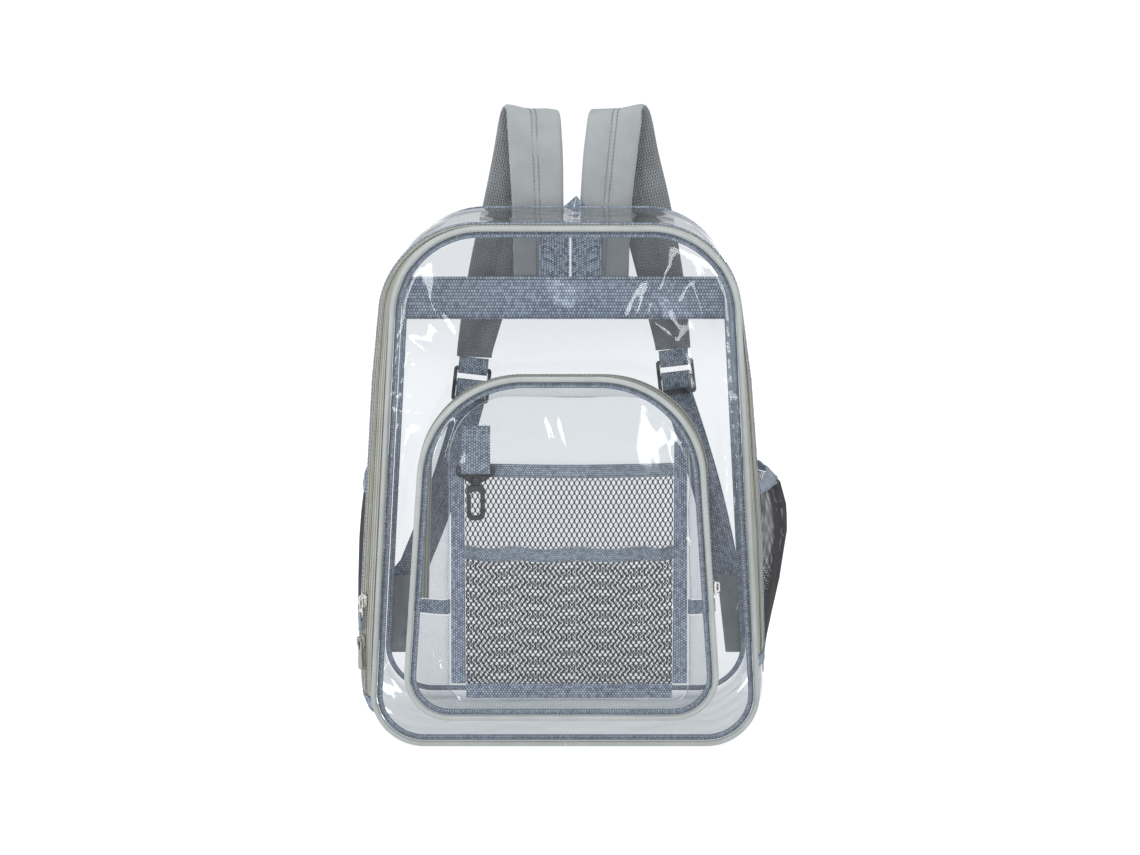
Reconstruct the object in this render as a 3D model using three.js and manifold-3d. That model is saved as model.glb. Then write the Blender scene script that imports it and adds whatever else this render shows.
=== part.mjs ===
// A clear backpack, standing on its base with its shoulder straps folded upright.
// Millimetres, +Z up. The front faces -Y, +X is to the right of someone looking at the front,
// and the origin is on the floor under the middle of the base.
import * as THREE from 'three';
import { mergeVertices } from 'three/addons/utils/BufferGeometryUtils.js';
import Module from 'manifold-3d';

const wasm = await Module();
wasm.setup();

// Body of the bag
const bagHeight = 425; // floor to the top of the front edging
const bagHalfLow = 160; // half width at the floor, if the corners were square
const bagHalfHigh = 134.5; // half width at the top, if the corners were square
const bagDepth = 146; // front seam to back seam
const bagLowRadius = 41;
const bagHighRadius = 70;
const sideSwell = 15; // how far the sides belly out past the front seam
const filmWall = 1; // clear vinyl sheet
const gap = 0.3; // between pieces that touch on the real bag

// Edgings, bindings and zips
const pipingRadius = 2.3;
const bindingWidth = 4.5;
const bindingWall = 1.8;
const tapeWidth = 10.5; // one side of a zip
const tapeWall = 1.1;
const coilWidth = 4;
const coilRise = 0.8; // how far the coil stands above its tape
const edgeBandWidth = 4; // binding on the rear edge of the zip
const mainZipLeftEnd = 40; // heights of the two ends of the main zip
const mainZipRightEnd = 76;
const endCoverLength = 12;

// Front pocket
const pocketDepth = 45;
const pocketHalfLow = 127;
const pocketHalfHigh = 107;
const pocketBottom = 36;
const pocketTop = 314;
const pocketLowRadius = 34;
const pocketHighRadius = 82;
const pocketShift = -3; // its front edge sits this far to one side
const pocketSwell = 6; // how far its zip bellies out past its front edge
const pocketSwellEnd = 0.8; // share of its depth at which the belly ends
const pocketSeamHalf = 97; // the smaller outline where it is sewn to the front panel
const pocketSeamHalfHigh = 95;
const pocketSeamBottom = 40;
const pocketSeamTop = 290;
const pocketSeamLowRadius = 14;
const pocketSeamHighRadius = 50;
const pocketSeamShift = 3; // and its seam this far to the other
const pocketTapeWidth = 9;
const pocketZipEnd = 136; // height of both ends of the pocket zip
const pocketTabLength = 12;

// Organizer net inside the pocket
const organizerBindingWidth = 12;
const organizerTop = 236; // mouth of the tall rear net
const organizerMiddle = 169; // mouth of the short front net
const mouthBinding = 11;
const rightBindingRise = 18; // how far the right side binding runs on above the nets
const netWall = 1;
const rearNetSlack = 7;
const frontNetSlack = 9;

// Swivel hook on its tab
const hookAxisX = -71;
const hookAxisOut = 10.9; // how far its axis hangs in front of the front panel's face
const hookBarHeight = 234;
const hookTabWidth = 23;
const hookTabTop = 266;
const hookTabLeanShare = 0.25; // how near the panel its two layers meet, from the hook to the panel
const hookBarRadius = 2;
const hookBaseWidth = 31;
const hookBaseDrop = 12; // bar to the underside of the base
const hookDepth = 5;
const hookBodyWidth = 14.6;
const hookBodyLength = 29;
const hookRim = 3.6;
const hookStemRadius = 1.7;
const hookBossRadius = 4.4;
const hookHeadRadius = 2.7; // the head that keeps the body's stem in the base
const hookHeadWall = 1.4;
const hookHeadRise = 4.2; // from the underside of the base to the top of the head
const hookEyeDrop = 5.5; // from the top of the body to its eye
const hookGateFoot = 4.6; // from the eye's lower end to the gate's pivot
const hookGateRoom = 1.8; // from the gate's upper end to the eye's
const hookGateBevel = 1.2; // its upper end slopes down by this much
const hookCorner = 5;
const hookEyeCorner = 3;

// Side net pockets
const sideNetBottom = 52;
const sideNetTop = 212;
const sideNetBindingWidth = 10;
const rightNetSwell = 24;
const leftNetSwell = 7;

// Back of the bag
const bandBottom = 327;
const bandWidth = 36;
const webbingWall = 1.5;
const haulWidth = 26;
const haulTop = 431;
const haulX = 4; // middle between its two legs
const haulTipShift = 5; // its folded tip leans this far to +X
const haulSlit = 0.8; // half of the space between its legs
const haulOverlap = 8; // its ends start this far above the band's lower edge
const strapOverlap = 12; // and the near ends of the straps this far
const strapWidth = 45;
const strapWall = 9;
const strapEdge = 0.45; // share of its thickness that its edges keep
const strapTop = 504; // top of the fold
const strapStandOff = 34; // how far the far leg stands behind the back panel
const strapSpread = 80; // how far the far leg's lower end lies from the middle
const strapEndLeft = 291; // lower ends of the padding
const strapEndRight = 298;
const strapWebbingWidth = 25;
const buckleWidth = 32;
const buckleLength = 30;
const buckleWall = 4;
const buckleBar = 3.4;
const buckleDrop = 9; // below the end of the padding
const lowerWebbingBowLeft = -4; // how far the lower webbing bows outwards on its way down
const lowerWebbingBowRight = 4;
const tabTopHeight = 104;
const tabLowHeight = 36;
const tabMiddle = 140; // half of the distance between the two tabs
const tabWidth = 20;
const tabLowWidth = 15;
const tabOverlap = 14; // of the webbing on its tab
const webbingLean = 0.2; // sideways lean of the webbing where it crosses its tab

// Sliders and pulls
const sliderLength = 11;
const sliderWidth = 8.4;
const sliderWall = 1.4;
const upperSliderHeight = 118;
const sliderSpacing = 34; // from one slider to the next
const pullWidth = 7;
const pullWall = 1.4;
const upperPullLength = 14;
const lowerPullLength = 24;
const pullEyeHalf = 2.4;
const pullEyeLength = 2.6;
const pullRim = 1.4; // metal below the eye
const pullCorner = 1;
const ribbonLength = 11;
const ribbonWidth = 4;
const ribbonWall = 0.8;
const sliderFlange = 1; // width of the two lips that reach down past the coil
const archWidth = 2; // the arch that holds the pull
const archHalf = 4;
const archPost = 1.2;
const pullWindowLength = 6;
const sliderClear = 2; // from the end of the zip to the pocket's slider

const sunk = 0.4; // how far joined solids reach into each other
const frontY = -bagDepth / 2;
const backY = bagDepth / 2;
const seamStart = pipingRadius + gap;

const finishes = {
  film: { color: 0xd8dcdf, roughness: 0.08, metalness: 0, transparent: true, opacity: 0.35 },
  piping: { color: 0xbec2c0, roughness: 0.45, metalness: 0 },
  webbing: { color: 0x6b7584, roughness: 0.85, metalness: 0 },
  tape: { color: 0x9f9f8c, roughness: 0.8, metalness: 0 },
  net: { color: 0x1c1d20, roughness: 0.8, metalness: 0 },
  padding: { color: 0xa8adaf, roughness: 0.9, metalness: 0 },
  plastic: { color: 0x131416, roughness: 0.4, metalness: 0 },
  nickel: { color: 0xb9bab8, roughness: 0.3, metalness: 1 },
};

const group = new THREE.Group();

function add(name, finish, geometry, parent = group) {
  const mesh = new THREE.Mesh(geometry, new THREE.MeshStandardMaterial(finishes[finish]));
  mesh.name = name;
  parent.add(mesh);
  return mesh;
}

// Outlines seen from the front

// A closed outline of four straight sides and four round corners, numbered by u. From the middle of the
// bottom towards +X, each half side, corner and upright side adds one to u, and 10 is the start again.
function makeOutline(halfLow, halfHigh, bottom, top, lowRadius, highRadius, shift = 0) {
  const corners = [
    [shift + halfLow, bottom, lowRadius],
    [shift + halfHigh, top, highRadius],
    [shift - halfHigh, top, highRadius],
    [shift - halfLow, bottom, lowRadius],
  ];
  const arcs = corners.map(([x, z, radius], i) => {
    const here = new THREE.Vector2(x, z);
    const before = new THREE.Vector2(...corners[(i + 3) % 4]).sub(here).normalize();
    const after = new THREE.Vector2(...corners[(i + 1) % 4]).sub(here).normalize();
    const half = Math.acos(before.dot(after)) / 2;
    const centre = before.clone().add(after).normalize().multiplyScalar(radius / Math.sin(half)).add(here);
    const start = before.clone().multiplyScalar(radius / Math.tan(half)).add(here);
    const end = after.clone().multiplyScalar(radius / Math.tan(half)).add(here);
    const from = Math.atan2(start.y - centre.y, start.x - centre.x);
    const turn = Math.atan2(end.y - centre.y, end.x - centre.x) - from;
    return { centre, radius, start, end, from, turn: turn < 0 ? turn + 2 * Math.PI : turn };
  });
  const low = new THREE.Vector2(shift, bottom);
  const high = new THREE.Vector2(shift, top);
  const [a, b, c, d] = arcs;
  const runs = [
    [low, a.start], a, [a.end, b.start], b, [b.end, high],
    [high, c.start], c, [c.end, d.start], d, [d.end, low],
  ];
  return (u) => {
    const run = runs[Math.floor(u) % 10];
    const share = u - Math.floor(u);
    if (Array.isArray(run)) {
      const p = run[0].clone().lerp(run[1], share);
      const along = run[1].clone().sub(run[0]).normalize();
      return { x: p.x, z: p.y, nx: along.y, nz: -along.x };
    }
    const angle = run.from + run.turn * share;
    const nx = Math.cos(angle);
    const nz = Math.sin(angle);
    return { x: run.centre.x + run.radius * nx, z: run.centre.y + run.radius * nz, nx, nz };
  };
}

const stepsPerRun = [2, 5, 4, 6, 2, 2, 6, 4, 5, 2];

// The values of u at which a piece that runs from one u to another has a section.
function stops(from, to) {
  const found = [from];
  for (let run = Math.floor(from); run <= Math.floor(to); run++) {
    const steps = stepsPerRun[run % 10];
    for (let k = 0; k < steps; k++) {
      const u = run + k / steps;
      if (u > from + 1e-6 && u < to - 1e-6) found.push(u);
    }
  }
  return [...found, to];
}

// The u at which one side of an outline passes a height.
function atHeight(outline, right, height) {
  let [low, high] = right ? [1, 4] : [9, 6];
  for (let k = 0; k < 40; k++) {
    const middle = (low + high) / 2;
    if (outline(middle).z < height) low = middle;
    else high = middle;
  }
  return (low + high) / 2;
}

// Interpolates one column of a table whose first column rises.
function read(table, key, column) {
  const i = Math.min(Math.max(table.findIndex((row) => row[0] >= key), 1), table.length - 1);
  const share = (key - table[i - 1][0]) / (table[i][0] - table[i - 1][0]);
  return THREE.MathUtils.lerp(table[i - 1][column], table[i][column], THREE.MathUtils.clamp(share, 0, 1));
}

// Evenly spaced values from one to another.
function across(start, end, steps) {
  return Array.from({ length: steps + 1 }, (_, k) => start + ((end - start) * k) / steps);
}

// Solids

function solid(positions, faces) {
  let volume = 0;
  for (const [i, j, k] of faces) volume += positions[i].clone().cross(positions[j]).dot(positions[k]);
  const geometry = new THREE.BufferGeometry();
  const numbers = positions.flatMap((p) => p.toArray());
  geometry.setAttribute('position', new THREE.Float32BufferAttribute(numbers, 3));
  geometry.setIndex(faces.flatMap(([i, j, k]) => (volume > 0 ? [i, j, k] : [i, k, j])));
  geometry.computeVertexNormals();
  return geometry;
}

// A wall between two grids of points, closed along its edges. A looped wall's last row joins its first.
function wall(outer, inner, looped = false) {
  const rows = outer.length;
  const columns = outer[0].length;
  const positions = [...outer.flat(), ...inner.flat()];
  const faces = [];
  const quad = (a, b, c, d) => faces.push([a, b, c], [a, c, d]);
  const at = (row, column, side) => side * rows * columns + (row % rows) * columns + column;
  for (let r = 0; r < (looped ? rows : rows - 1); r++) {
    for (let c = 0; c < columns - 1; c++) {
      quad(at(r, c, 0), at(r, c + 1, 0), at(r + 1, c + 1, 0), at(r + 1, c, 0));
      quad(at(r, c, 1), at(r + 1, c, 1), at(r + 1, c + 1, 1), at(r, c + 1, 1));
    }
    quad(at(r, 0, 0), at(r + 1, 0, 0), at(r + 1, 0, 1), at(r, 0, 1));
    quad(at(r, columns - 1, 0), at(r, columns - 1, 1), at(r + 1, columns - 1, 1), at(r + 1, columns - 1, 0));
  }
  if (!looped) {
    for (let c = 0; c < columns - 1; c++) {
      quad(at(0, c, 0), at(0, c, 1), at(0, c + 1, 1), at(0, c + 1, 0));
      quad(at(rows - 1, c, 0), at(rows - 1, c + 1, 0), at(rows - 1, c + 1, 1), at(rows - 1, c, 1));
    }
  }
  return solid(positions, faces);
}

// A bar through rings of points, with flat ends unless it is looped. The rings are convex.
function bar(rings, looped = false) {
  const count = rings[0].length;
  const faces = [];
  for (let r = 0; r < (looped ? rings.length : rings.length - 1); r++) {
    for (let k = 0; k < count; k++) {
      const [a, b] = [r * count + k, r * count + ((k + 1) % count)];
      const next = ((r + 1) % rings.length) * count - r * count;
      faces.push([a, b, b + next], [a, b + next, a + next]);
    }
  }
  if (!looped) {
    const last = (rings.length - 1) * count;
    for (let k = 1; k < count - 1; k++) faces.push([0, k + 1, k], [last, last + k, last + k + 1]);
  }
  return solid(rings.flat(), faces);
}

// A strip that lies on a surface, across some depths and between two offsets from the surface.
function strip(surface, from, to, depths, inner, outer) {
  const looped = to - from === 10;
  const us = stops(from, to);
  if (looped) us.pop();
  const grid = (out) => us.map((u) => depths.map((depth) => surface(u, depth, out)));
  return wall(grid(outer), grid(inner), looped);
}

function roundBar(outline, y, radius, from = 0, to = 10, sides = 6) {
  const looped = to - from === 10;
  const us = stops(from, to);
  if (looped) us.pop();
  const rings = us.map((u) => {
    const p = outline(u);
    return Array.from({ length: sides }, (_, k) => {
      const angle = ((k + 0.5) / sides) * 2 * Math.PI;
      const out = radius * Math.cos(angle);
      return new THREE.Vector3(p.x + p.nx * out, y + radius * Math.sin(angle), p.z + p.nz * out);
    });
  });
  return bar(rings, looped);
}

// A flat sheet that fills an outline, moved in from it by an inset, from one y to a greater one.
function flatPanel(outline, inset, y1, y2) {
  const us = stops(0, 10).slice(0, -1);
  const points = us.map((u) => {
    const p = outline(u);
    return new THREE.Vector2(p.x - p.nx * inset, p.z - p.nz * inset);
  });
  return new THREE.ExtrudeGeometry(new THREE.Shape(points), { depth: y2 - y1, bevelEnabled: false })
    .rotateX(Math.PI / 2)
    .translate(0, y2, 0);
}

function block(x1, x2, y1, y2, z1, z2) {
  const geometry = new THREE.BoxGeometry(x2 - x1, y2 - y1, z2 - z1);
  return geometry.translate((x1 + x2) / 2, (y1 + y2) / 2, (z1 + z2) / 2);
}

// A ribbon, or with soft edges a padded strap, along rows of { p, face, width, thickness, roll }. The
// vector face is the way its face looks, and roll turns it about its own length, in degrees.
function ribbon(rows, soft = 0) {
  const flat = 0.84; // share of a padded strap's width that is flat
  const rings = rows.map(({ p, face, width, thickness, roll = 0 }, i) => {
    const before = rows[Math.max(i - 1, 0)].p;
    const after = rows[Math.min(i + 1, rows.length - 1)].p;
    const along = after.clone().sub(before).normalize();
    const side = along.clone().cross(face).normalize();
    side.applyAxisAngle(along, THREE.MathUtils.degToRad(roll));
    const up = side.clone().cross(along).normalize();
    const shape = soft
      ? [[1, -soft], [1, soft], [flat, 1], [-flat, 1], [-1, soft], [-1, -soft], [-flat, -1], [flat, -1]]
      : [[1, -1], [1, 1], [-1, 1], [-1, -1]];
    return shape.map(([a, b]) =>
      p.clone().addScaledVector(side, (a * width) / 2).addScaledVector(up, (b * thickness) / 2));
  });
  return bar(rings);
}

function toManifold(geometry) {
  const bare = geometry.clone();
  bare.deleteAttribute('normal');
  bare.deleteAttribute('uv');
  const merged = mergeVertices(bare, 1e-3);
  const mesh = new wasm.Mesh({
    numProp: 3,
    vertProperties: Float32Array.from(merged.attributes.position.array),
    triVerts: Uint32Array.from(merged.index.array),
  });
  return new wasm.Manifold(mesh);
}

function fromManifold(manifold) {
  const mesh = manifold.getMesh();
  const geometry = new THREE.BufferGeometry();
  geometry.setAttribute('position', new THREE.BufferAttribute(mesh.vertProperties, 3));
  geometry.setIndex(new THREE.BufferAttribute(mesh.triVerts, 1));
  geometry.computeVertexNormals();
  return geometry;
}

function join(...geometries) {
  return fromManifold(geometries.map(toManifold).reduce((a, b) => a.add(b)));
}

function cut(geometry, ...tools) {
  return fromManifold(tools.map(toManifold).reduce((a, b) => a.subtract(b), toManifold(geometry)));
}

// Body of the bag

const bagOutline = makeOutline(
  bagHalfLow - pipingRadius, bagHalfHigh - pipingRadius, pipingRadius, bagHeight - pipingRadius,
  bagLowRadius, bagHighRadius);

// How much of sideSwell each side shows at a height.
const swellTable = [
  // height share, left, right
  [0, 0.1, 0.1],
  [0.1, 0.72, 0.45],
  [0.2, 1, 0.6],
  [0.4, 1, 0.75],
  [0.7, 0.95, 0.55],
  [0.85, 0.75, 0.2],
  [1, 0.3, 0.1],
];
const swellRise = 0.2; // share of the depth over which the side bellies out behind the front seam
const swellFall = 0.5; // share of the depth over which it comes back to the back seam
const dropRun = 8; // the base meets the floor this far behind the front seam
const baseFlat = 20; // and is flat from here on

// A point of the side, top or base of the bag at a depth behind the front seam, and an offset outwards.
function onGusset(u, depth, out) {
  const p = bagOutline(u);
  const share = depth / bagDepth;
  const rise = Math.sin((Math.PI / 2) * THREE.MathUtils.clamp(share / swellRise, 0, 1));
  const fall = Math.sin((Math.PI / 2) * THREE.MathUtils.clamp((1 - share) / swellFall, 0, 1));
  const amount = read(swellTable, p.z / bagHeight, p.x < 0 ? 1 : 2) * Math.abs(p.nx);
  const drop = Math.max(-p.nz, 0) * pipingRadius * Math.min(1, depth / dropRun, (bagDepth - depth) / dropRun);
  const swell = sideSwell * amount * rise * fall + drop + out;
  return new THREE.Vector3(p.x + p.nx * swell, frontY + depth, p.z + p.nz * swell);
}

add('front_panel', 'film', flatPanel(bagOutline, seamStart, frontY - filmWall / 2, frontY + filmWall / 2));
add('front_piping', 'piping', roundBar(bagOutline, frontY, pipingRadius));
const ringOnFront = (u, depth, out) => {
  const p = bagOutline(u);
  return new THREE.Vector3(p.x + p.nx * out, frontY + depth, p.z + p.nz * out);
};
add('front_seam_binding', 'webbing', strip(
  ringOnFront, 0, 10, [filmWall / 2 + gap, filmWall / 2 + gap + bindingWall],
  -seamStart - bindingWidth, -seamStart));

const bagLeft = (height) => atHeight(bagOutline, false, height);
const bagRight = (height) => atHeight(bagOutline, true, height);
const zipLeft = bagLeft(mainZipLeftEnd);
const zipRight = bagRight(mainZipRightEnd);
const coverLowLeft = mainZipLeftEnd - endCoverLength;
const coverLowRight = mainZipRightEnd - endCoverLength;

const coilStart = seamStart + tapeWidth + gap;
const rearTapeStart = coilStart + coilWidth + gap;
const edgeBandStart = rearTapeStart + tapeWidth + gap;
const filmStart = edgeBandStart + edgeBandWidth + gap;
const filmEnd = bagDepth - filmWall / 2 - 2 * gap - bindingWall;

add('main_zip_tape_front', 'tape', strip(
  onGusset, zipRight, zipLeft, across(seamStart, seamStart + tapeWidth, 2), -tapeWall, 0));
add('main_zip_coil', 'tape', strip(
  onGusset, zipRight, zipLeft, [coilStart, coilStart + coilWidth], -tapeWall, coilRise));
add('main_zip_tape_rear', 'tape', strip(
  onGusset, zipRight, zipLeft, across(rearTapeStart, rearTapeStart + tapeWidth, 2), -tapeWall, 0));
add('zip_edge_binding', 'webbing', strip(
  onGusset, zipRight, zipLeft, [edgeBandStart, edgeBandStart + edgeBandWidth],
  -bindingWall / 2, bindingWall / 2));
add('gusset_film', 'film', strip(
  onGusset, bagRight(coverLowRight + gap), bagLeft(coverLowLeft + gap), across(filmStart, filmEnd, 5),
  -filmWall, 0));
add('base_film', 'film', strip(
  onGusset, bagLeft(coverLowLeft), bagRight(coverLowRight) + 10,
  [seamStart, dropRun, ...across(baseFlat, bagDepth - baseFlat, 3), bagDepth - dropRun, filmEnd],
  -filmWall, 0));

const coverWall = 2;
for (const [name, from, to] of [
  ['zip_end_cover_left', bagLeft(mainZipLeftEnd - gap), bagLeft(coverLowLeft + gap)],
  ['zip_end_cover_right', bagRight(coverLowRight + gap), bagRight(mainZipRightEnd - gap)],
]) {
  add(name, 'webbing', strip(
    onGusset, from, to, across(seamStart, edgeBandStart + edgeBandWidth, 3), -coverWall / 2, coverWall / 2));
}

const ringOnBack = (u, depth, out) => ringOnFront(u, depth + bagDepth, out);
add('back_panel', 'film', flatPanel(bagOutline, 0, backY - filmWall / 2, backY + filmWall / 2));
add('back_seam_binding', 'webbing', strip(
  ringOnBack, 0, 10, [-filmWall / 2 - gap - bindingWall, -filmWall / 2 - gap], -bindingWidth, 0));

// Front pocket

const pocketFront = makeOutline(
  pocketHalfLow - pipingRadius, pocketHalfHigh - pipingRadius, pocketBottom + pipingRadius,
  pocketTop - pipingRadius, pocketLowRadius, pocketHighRadius, pocketShift);
const pocketSeam = makeOutline(
  pocketSeamHalf, pocketSeamHalfHigh, pocketSeamBottom, pocketSeamTop, pocketSeamLowRadius,
  pocketSeamHighRadius, pocketSeamShift);
const pocketY = frontY - pocketDepth;

// A point of the pocket's side at a depth behind its front edge. It bellies out, then narrows to its seam.
function onPocket(u, depth, out) {
  const p = pocketFront(u);
  const q = pocketSeam(u);
  const share = THREE.MathUtils.clamp(depth / pocketDepth, 0, 1);
  const inward = share * share * (3 - 2 * share);
  const swell = pocketSwell * Math.sin(Math.PI * Math.min(share / pocketSwellEnd, 1)) + out;
  const nx = THREE.MathUtils.lerp(p.nx, q.nx, inward);
  const nz = THREE.MathUtils.lerp(p.nz, q.nz, inward);
  return new THREE.Vector3(
    THREE.MathUtils.lerp(p.x, q.x, inward) + nx * swell,
    pocketY + depth,
    THREE.MathUtils.lerp(p.z, q.z, inward) + nz * swell);
}
const ringOnPocket = (u, depth, out) => {
  const p = pocketFront(u);
  return new THREE.Vector3(p.x + p.nx * out, pocketY + depth, p.z + p.nz * out);
};

add('pocket_front_panel', 'film', flatPanel(
  pocketFront, seamStart, pocketY - filmWall / 2, pocketY + filmWall / 2));
add('pocket_piping', 'piping', roundBar(pocketFront, pocketY, pipingRadius));
add('pocket_seam_binding', 'webbing', strip(
  ringOnPocket, 0, 10, [filmWall / 2 + gap, filmWall / 2 + gap + bindingWall],
  -seamStart - bindingWidth, -seamStart));

const pocketCoilStart = seamStart + pocketTapeWidth + gap;
const pocketRearTapeStart = pocketCoilStart + coilWidth + gap;
const pocketFilmStart = pocketRearTapeStart + pocketTapeWidth + gap;
const pocketFilmEnd = pocketDepth - filmWall / 2 - gap;
const pocketLeft = (height) => atHeight(pocketFront, false, height);
const pocketRight = (height) => atHeight(pocketFront, true, height);
const pocketZipLeft = pocketLeft(pocketZipEnd);
const pocketZipRight = pocketRight(pocketZipEnd);
const pocketTabLow = pocketZipEnd - pocketTabLength;

add('pocket_zip_tape_front', 'tape', strip(
  onPocket, pocketZipRight, pocketZipLeft, across(seamStart, seamStart + pocketTapeWidth, 2), -tapeWall, 0));
add('pocket_zip_coil', 'tape', strip(
  onPocket, pocketZipRight, pocketZipLeft, [pocketCoilStart, pocketCoilStart + coilWidth],
  -tapeWall, coilRise));
add('pocket_zip_tape_rear', 'tape', strip(
  onPocket, pocketZipRight, pocketZipLeft,
  across(pocketRearTapeStart, pocketRearTapeStart + pocketTapeWidth, 2), -tapeWall, 0));
add('pocket_gusset_film', 'film', strip(
  onPocket, pocketZipRight, pocketZipLeft, across(pocketFilmStart, pocketFilmEnd, 3), -filmWall, 0));
add('pocket_base_film', 'film', strip(
  onPocket, pocketLeft(pocketTabLow), pocketRight(pocketTabLow) + 10, across(seamStart, pocketFilmEnd, 5),
  -filmWall, 0));
for (const [name, from, to] of [
  ['pocket_end_tab_left', pocketLeft(pocketZipEnd - gap), pocketLeft(pocketTabLow + gap)],
  ['pocket_end_tab_right', pocketRight(pocketTabLow + gap), pocketRight(pocketZipEnd - gap)],
]) {
  add(name, 'webbing', strip(
    onPocket, from, to, across(seamStart, pocketFilmEnd, 6), -coverWall / 2, coverWall / 2));
}

// Organizer nets, sewn to the front panel inside the pocket

const panelFace = frontY - filmWall / 2;
const organizerHalf = pocketSeamHalf - filmWall - 2 * gap;
const netHalf = organizerHalf - organizerBindingWidth - gap;
const organizerLow = pocketSeamBottom + filmWall + 2 * gap;
const netLow = organizerLow + organizerBindingWidth + gap;
const netBindingY = panelFace - gap - bindingWall;
const organizer = new THREE.Group();
organizer.position.x = pocketSeamShift;
group.add(organizer);

// A flat piece between rows of [x, z] points, from y to y plus its thickness.
const flatQuad = (corners, y, thickness) => wall(
  corners.map((row) => row.map(([x, z]) => new THREE.Vector3(x, y, z))),
  corners.map((row) => row.map(([x, z]) => new THREE.Vector3(x, y + thickness, z))));
// The side bindings follow the pocket's seam. The right one runs on up until the seam curves over it.
for (const [name, side, top] of [
  ['organizer_binding_left', -1, organizerTop],
  ['organizer_binding_right', 1, organizerTop + rightBindingRise],
]) {
  const rows = across(netLow, top, 8).map((z) => {
    const outer = pocketSeam(atHeight(pocketSeam, true, z)).x - pocketSeamShift - filmWall - 2 * gap;
    return [[side * (netHalf + gap), z], [side * outer, z]];
  });
  add(name, 'webbing', flatQuad(rows, netBindingY, bindingWall), organizer);
}
add('organizer_binding_bottom', 'webbing', block(
  -netHalf, netHalf, netBindingY, panelFace - gap, organizerLow, netLow - gap), organizer);

// How far the rear net hangs forward of the panel at x and z. Its mouth hangs furthest.
function rearNetOut(x, z) {
  const rise = THREE.MathUtils.clamp((z - netLow) / (organizerTop - netLow), 0, 1);
  return rearNetSlack * Math.cos((Math.PI / 2) * (x / netHalf)) * rise;
}
// The front net is sewn to the rear one along upright lines, so it hangs forward in cells between them.
const netSeams = [0, 0.235, 0.53, 0.855, 1]; // shares of the net's width
const stepsPerCell = 6;
const seamX = (i) => THREE.MathUtils.lerp(-netHalf, netHalf, netSeams[i]);
const netColumns = netSeams.slice(1).flatMap((_, i) =>
  across(seamX(i), seamX(i + 1), stepsPerCell).slice(i ? 1 : 0));
function frontNetOut(x, z) {
  const rise = THREE.MathUtils.clamp((z - netLow) / (organizerMiddle - netLow), 0, 1);
  const i = Math.max(netSeams.findLastIndex((_, k) => k < netSeams.length - 1 && seamX(k) <= x), 0);
  const share = (x - seamX(i)) / (seamX(i + 1) - seamX(i));
  return rearNetOut(x, z) + netWall + gap + frontNetSlack * Math.abs(Math.sin(Math.PI * share)) * rise;
}
function hangingNet(outAt, low, high, columns, rows, thickness) {
  const grid = (extra) => columns.map((x) =>
    across(low, high, rows).map((z) => new THREE.Vector3(x, panelFace - gap - outAt(x, z) - extra, z)));
  return wall(grid(thickness), grid(0));
}
for (const [net, binding, outAt, mouth, columns, rows] of [
  ['organizer_rear_net', 'organizer_top_binding', rearNetOut, organizerTop, across(-netHalf, netHalf, 16), 4],
  ['organizer_front_net', 'organizer_middle_binding', frontNetOut, organizerMiddle, netColumns, 3],
]) {
  const bindingLow = mouth - mouthBinding;
  add(net, 'net', hangingNet(outAt, netLow, bindingLow - gap, columns, rows, netWall), organizer);
  add(binding, 'webbing', hangingNet(outAt, bindingLow, mouth, columns, 1, bindingWall), organizer);
}

// Swivel hook on a folded tab, sewn to the front panel above the nets

// Webbing of one width folded along a path of [y, z] points.
function foldedWeb(x, width, thickness, path) {
  const rows = path.map(([y, z], i) => {
    const [y1, z1] = path[Math.max(i - 1, 0)];
    const [y2, z2] = path[Math.min(i + 1, path.length - 1)];
    const away = new THREE.Vector2(z2 - z1, y1 - y2).normalize().multiplyScalar(thickness / 2);
    return [-1, 1].map((side) => [-1, 1].map((edge) =>
      new THREE.Vector3(x + (edge * width) / 2, y + side * away.x, z + side * away.y)));
  });
  return wall(rows.map((row) => row[0]), rows.map((row) => row[1]));
}

// Points of a half turn round (y, z), from one side of it under or over it to the other.
function turnAbout(y, z, radius, from, to, steps) {
  return across(from, to, steps).map((degrees) => {
    const angle = THREE.MathUtils.degToRad(degrees);
    return [y + radius * Math.cos(angle), z + radius * Math.sin(angle)];
  });
}

const hookWrap = Math.hypot(hookBarRadius, hookDepth / 2) + gap + webbingWall / 2;
const layerOffset = (webbingWall + gap) / 2;
const hookAxisY = panelFace - hookAxisOut;
const hookTabMeet = hookBarHeight + 4 * hookWrap; // above this the tab's two layers lie together
const hookTabLean = THREE.MathUtils.lerp(hookAxisY, panelFace - gap - webbingWall, hookTabLeanShare);
add('hook_tab', 'webbing', foldedWeb(hookAxisX, hookTabWidth, webbingWall, [
  [panelFace - gap - webbingWall / 2, hookTabTop],
  [hookTabLean + layerOffset, hookTabMeet],
  ...turnAbout(hookAxisY, hookBarHeight, hookWrap, 0, -180, 6),
  [hookTabLean - layerOffset, hookTabMeet],
  [panelFace - gap - webbingWall / 2 - 2 * layerOffset, hookTabTop],
]));

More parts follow.
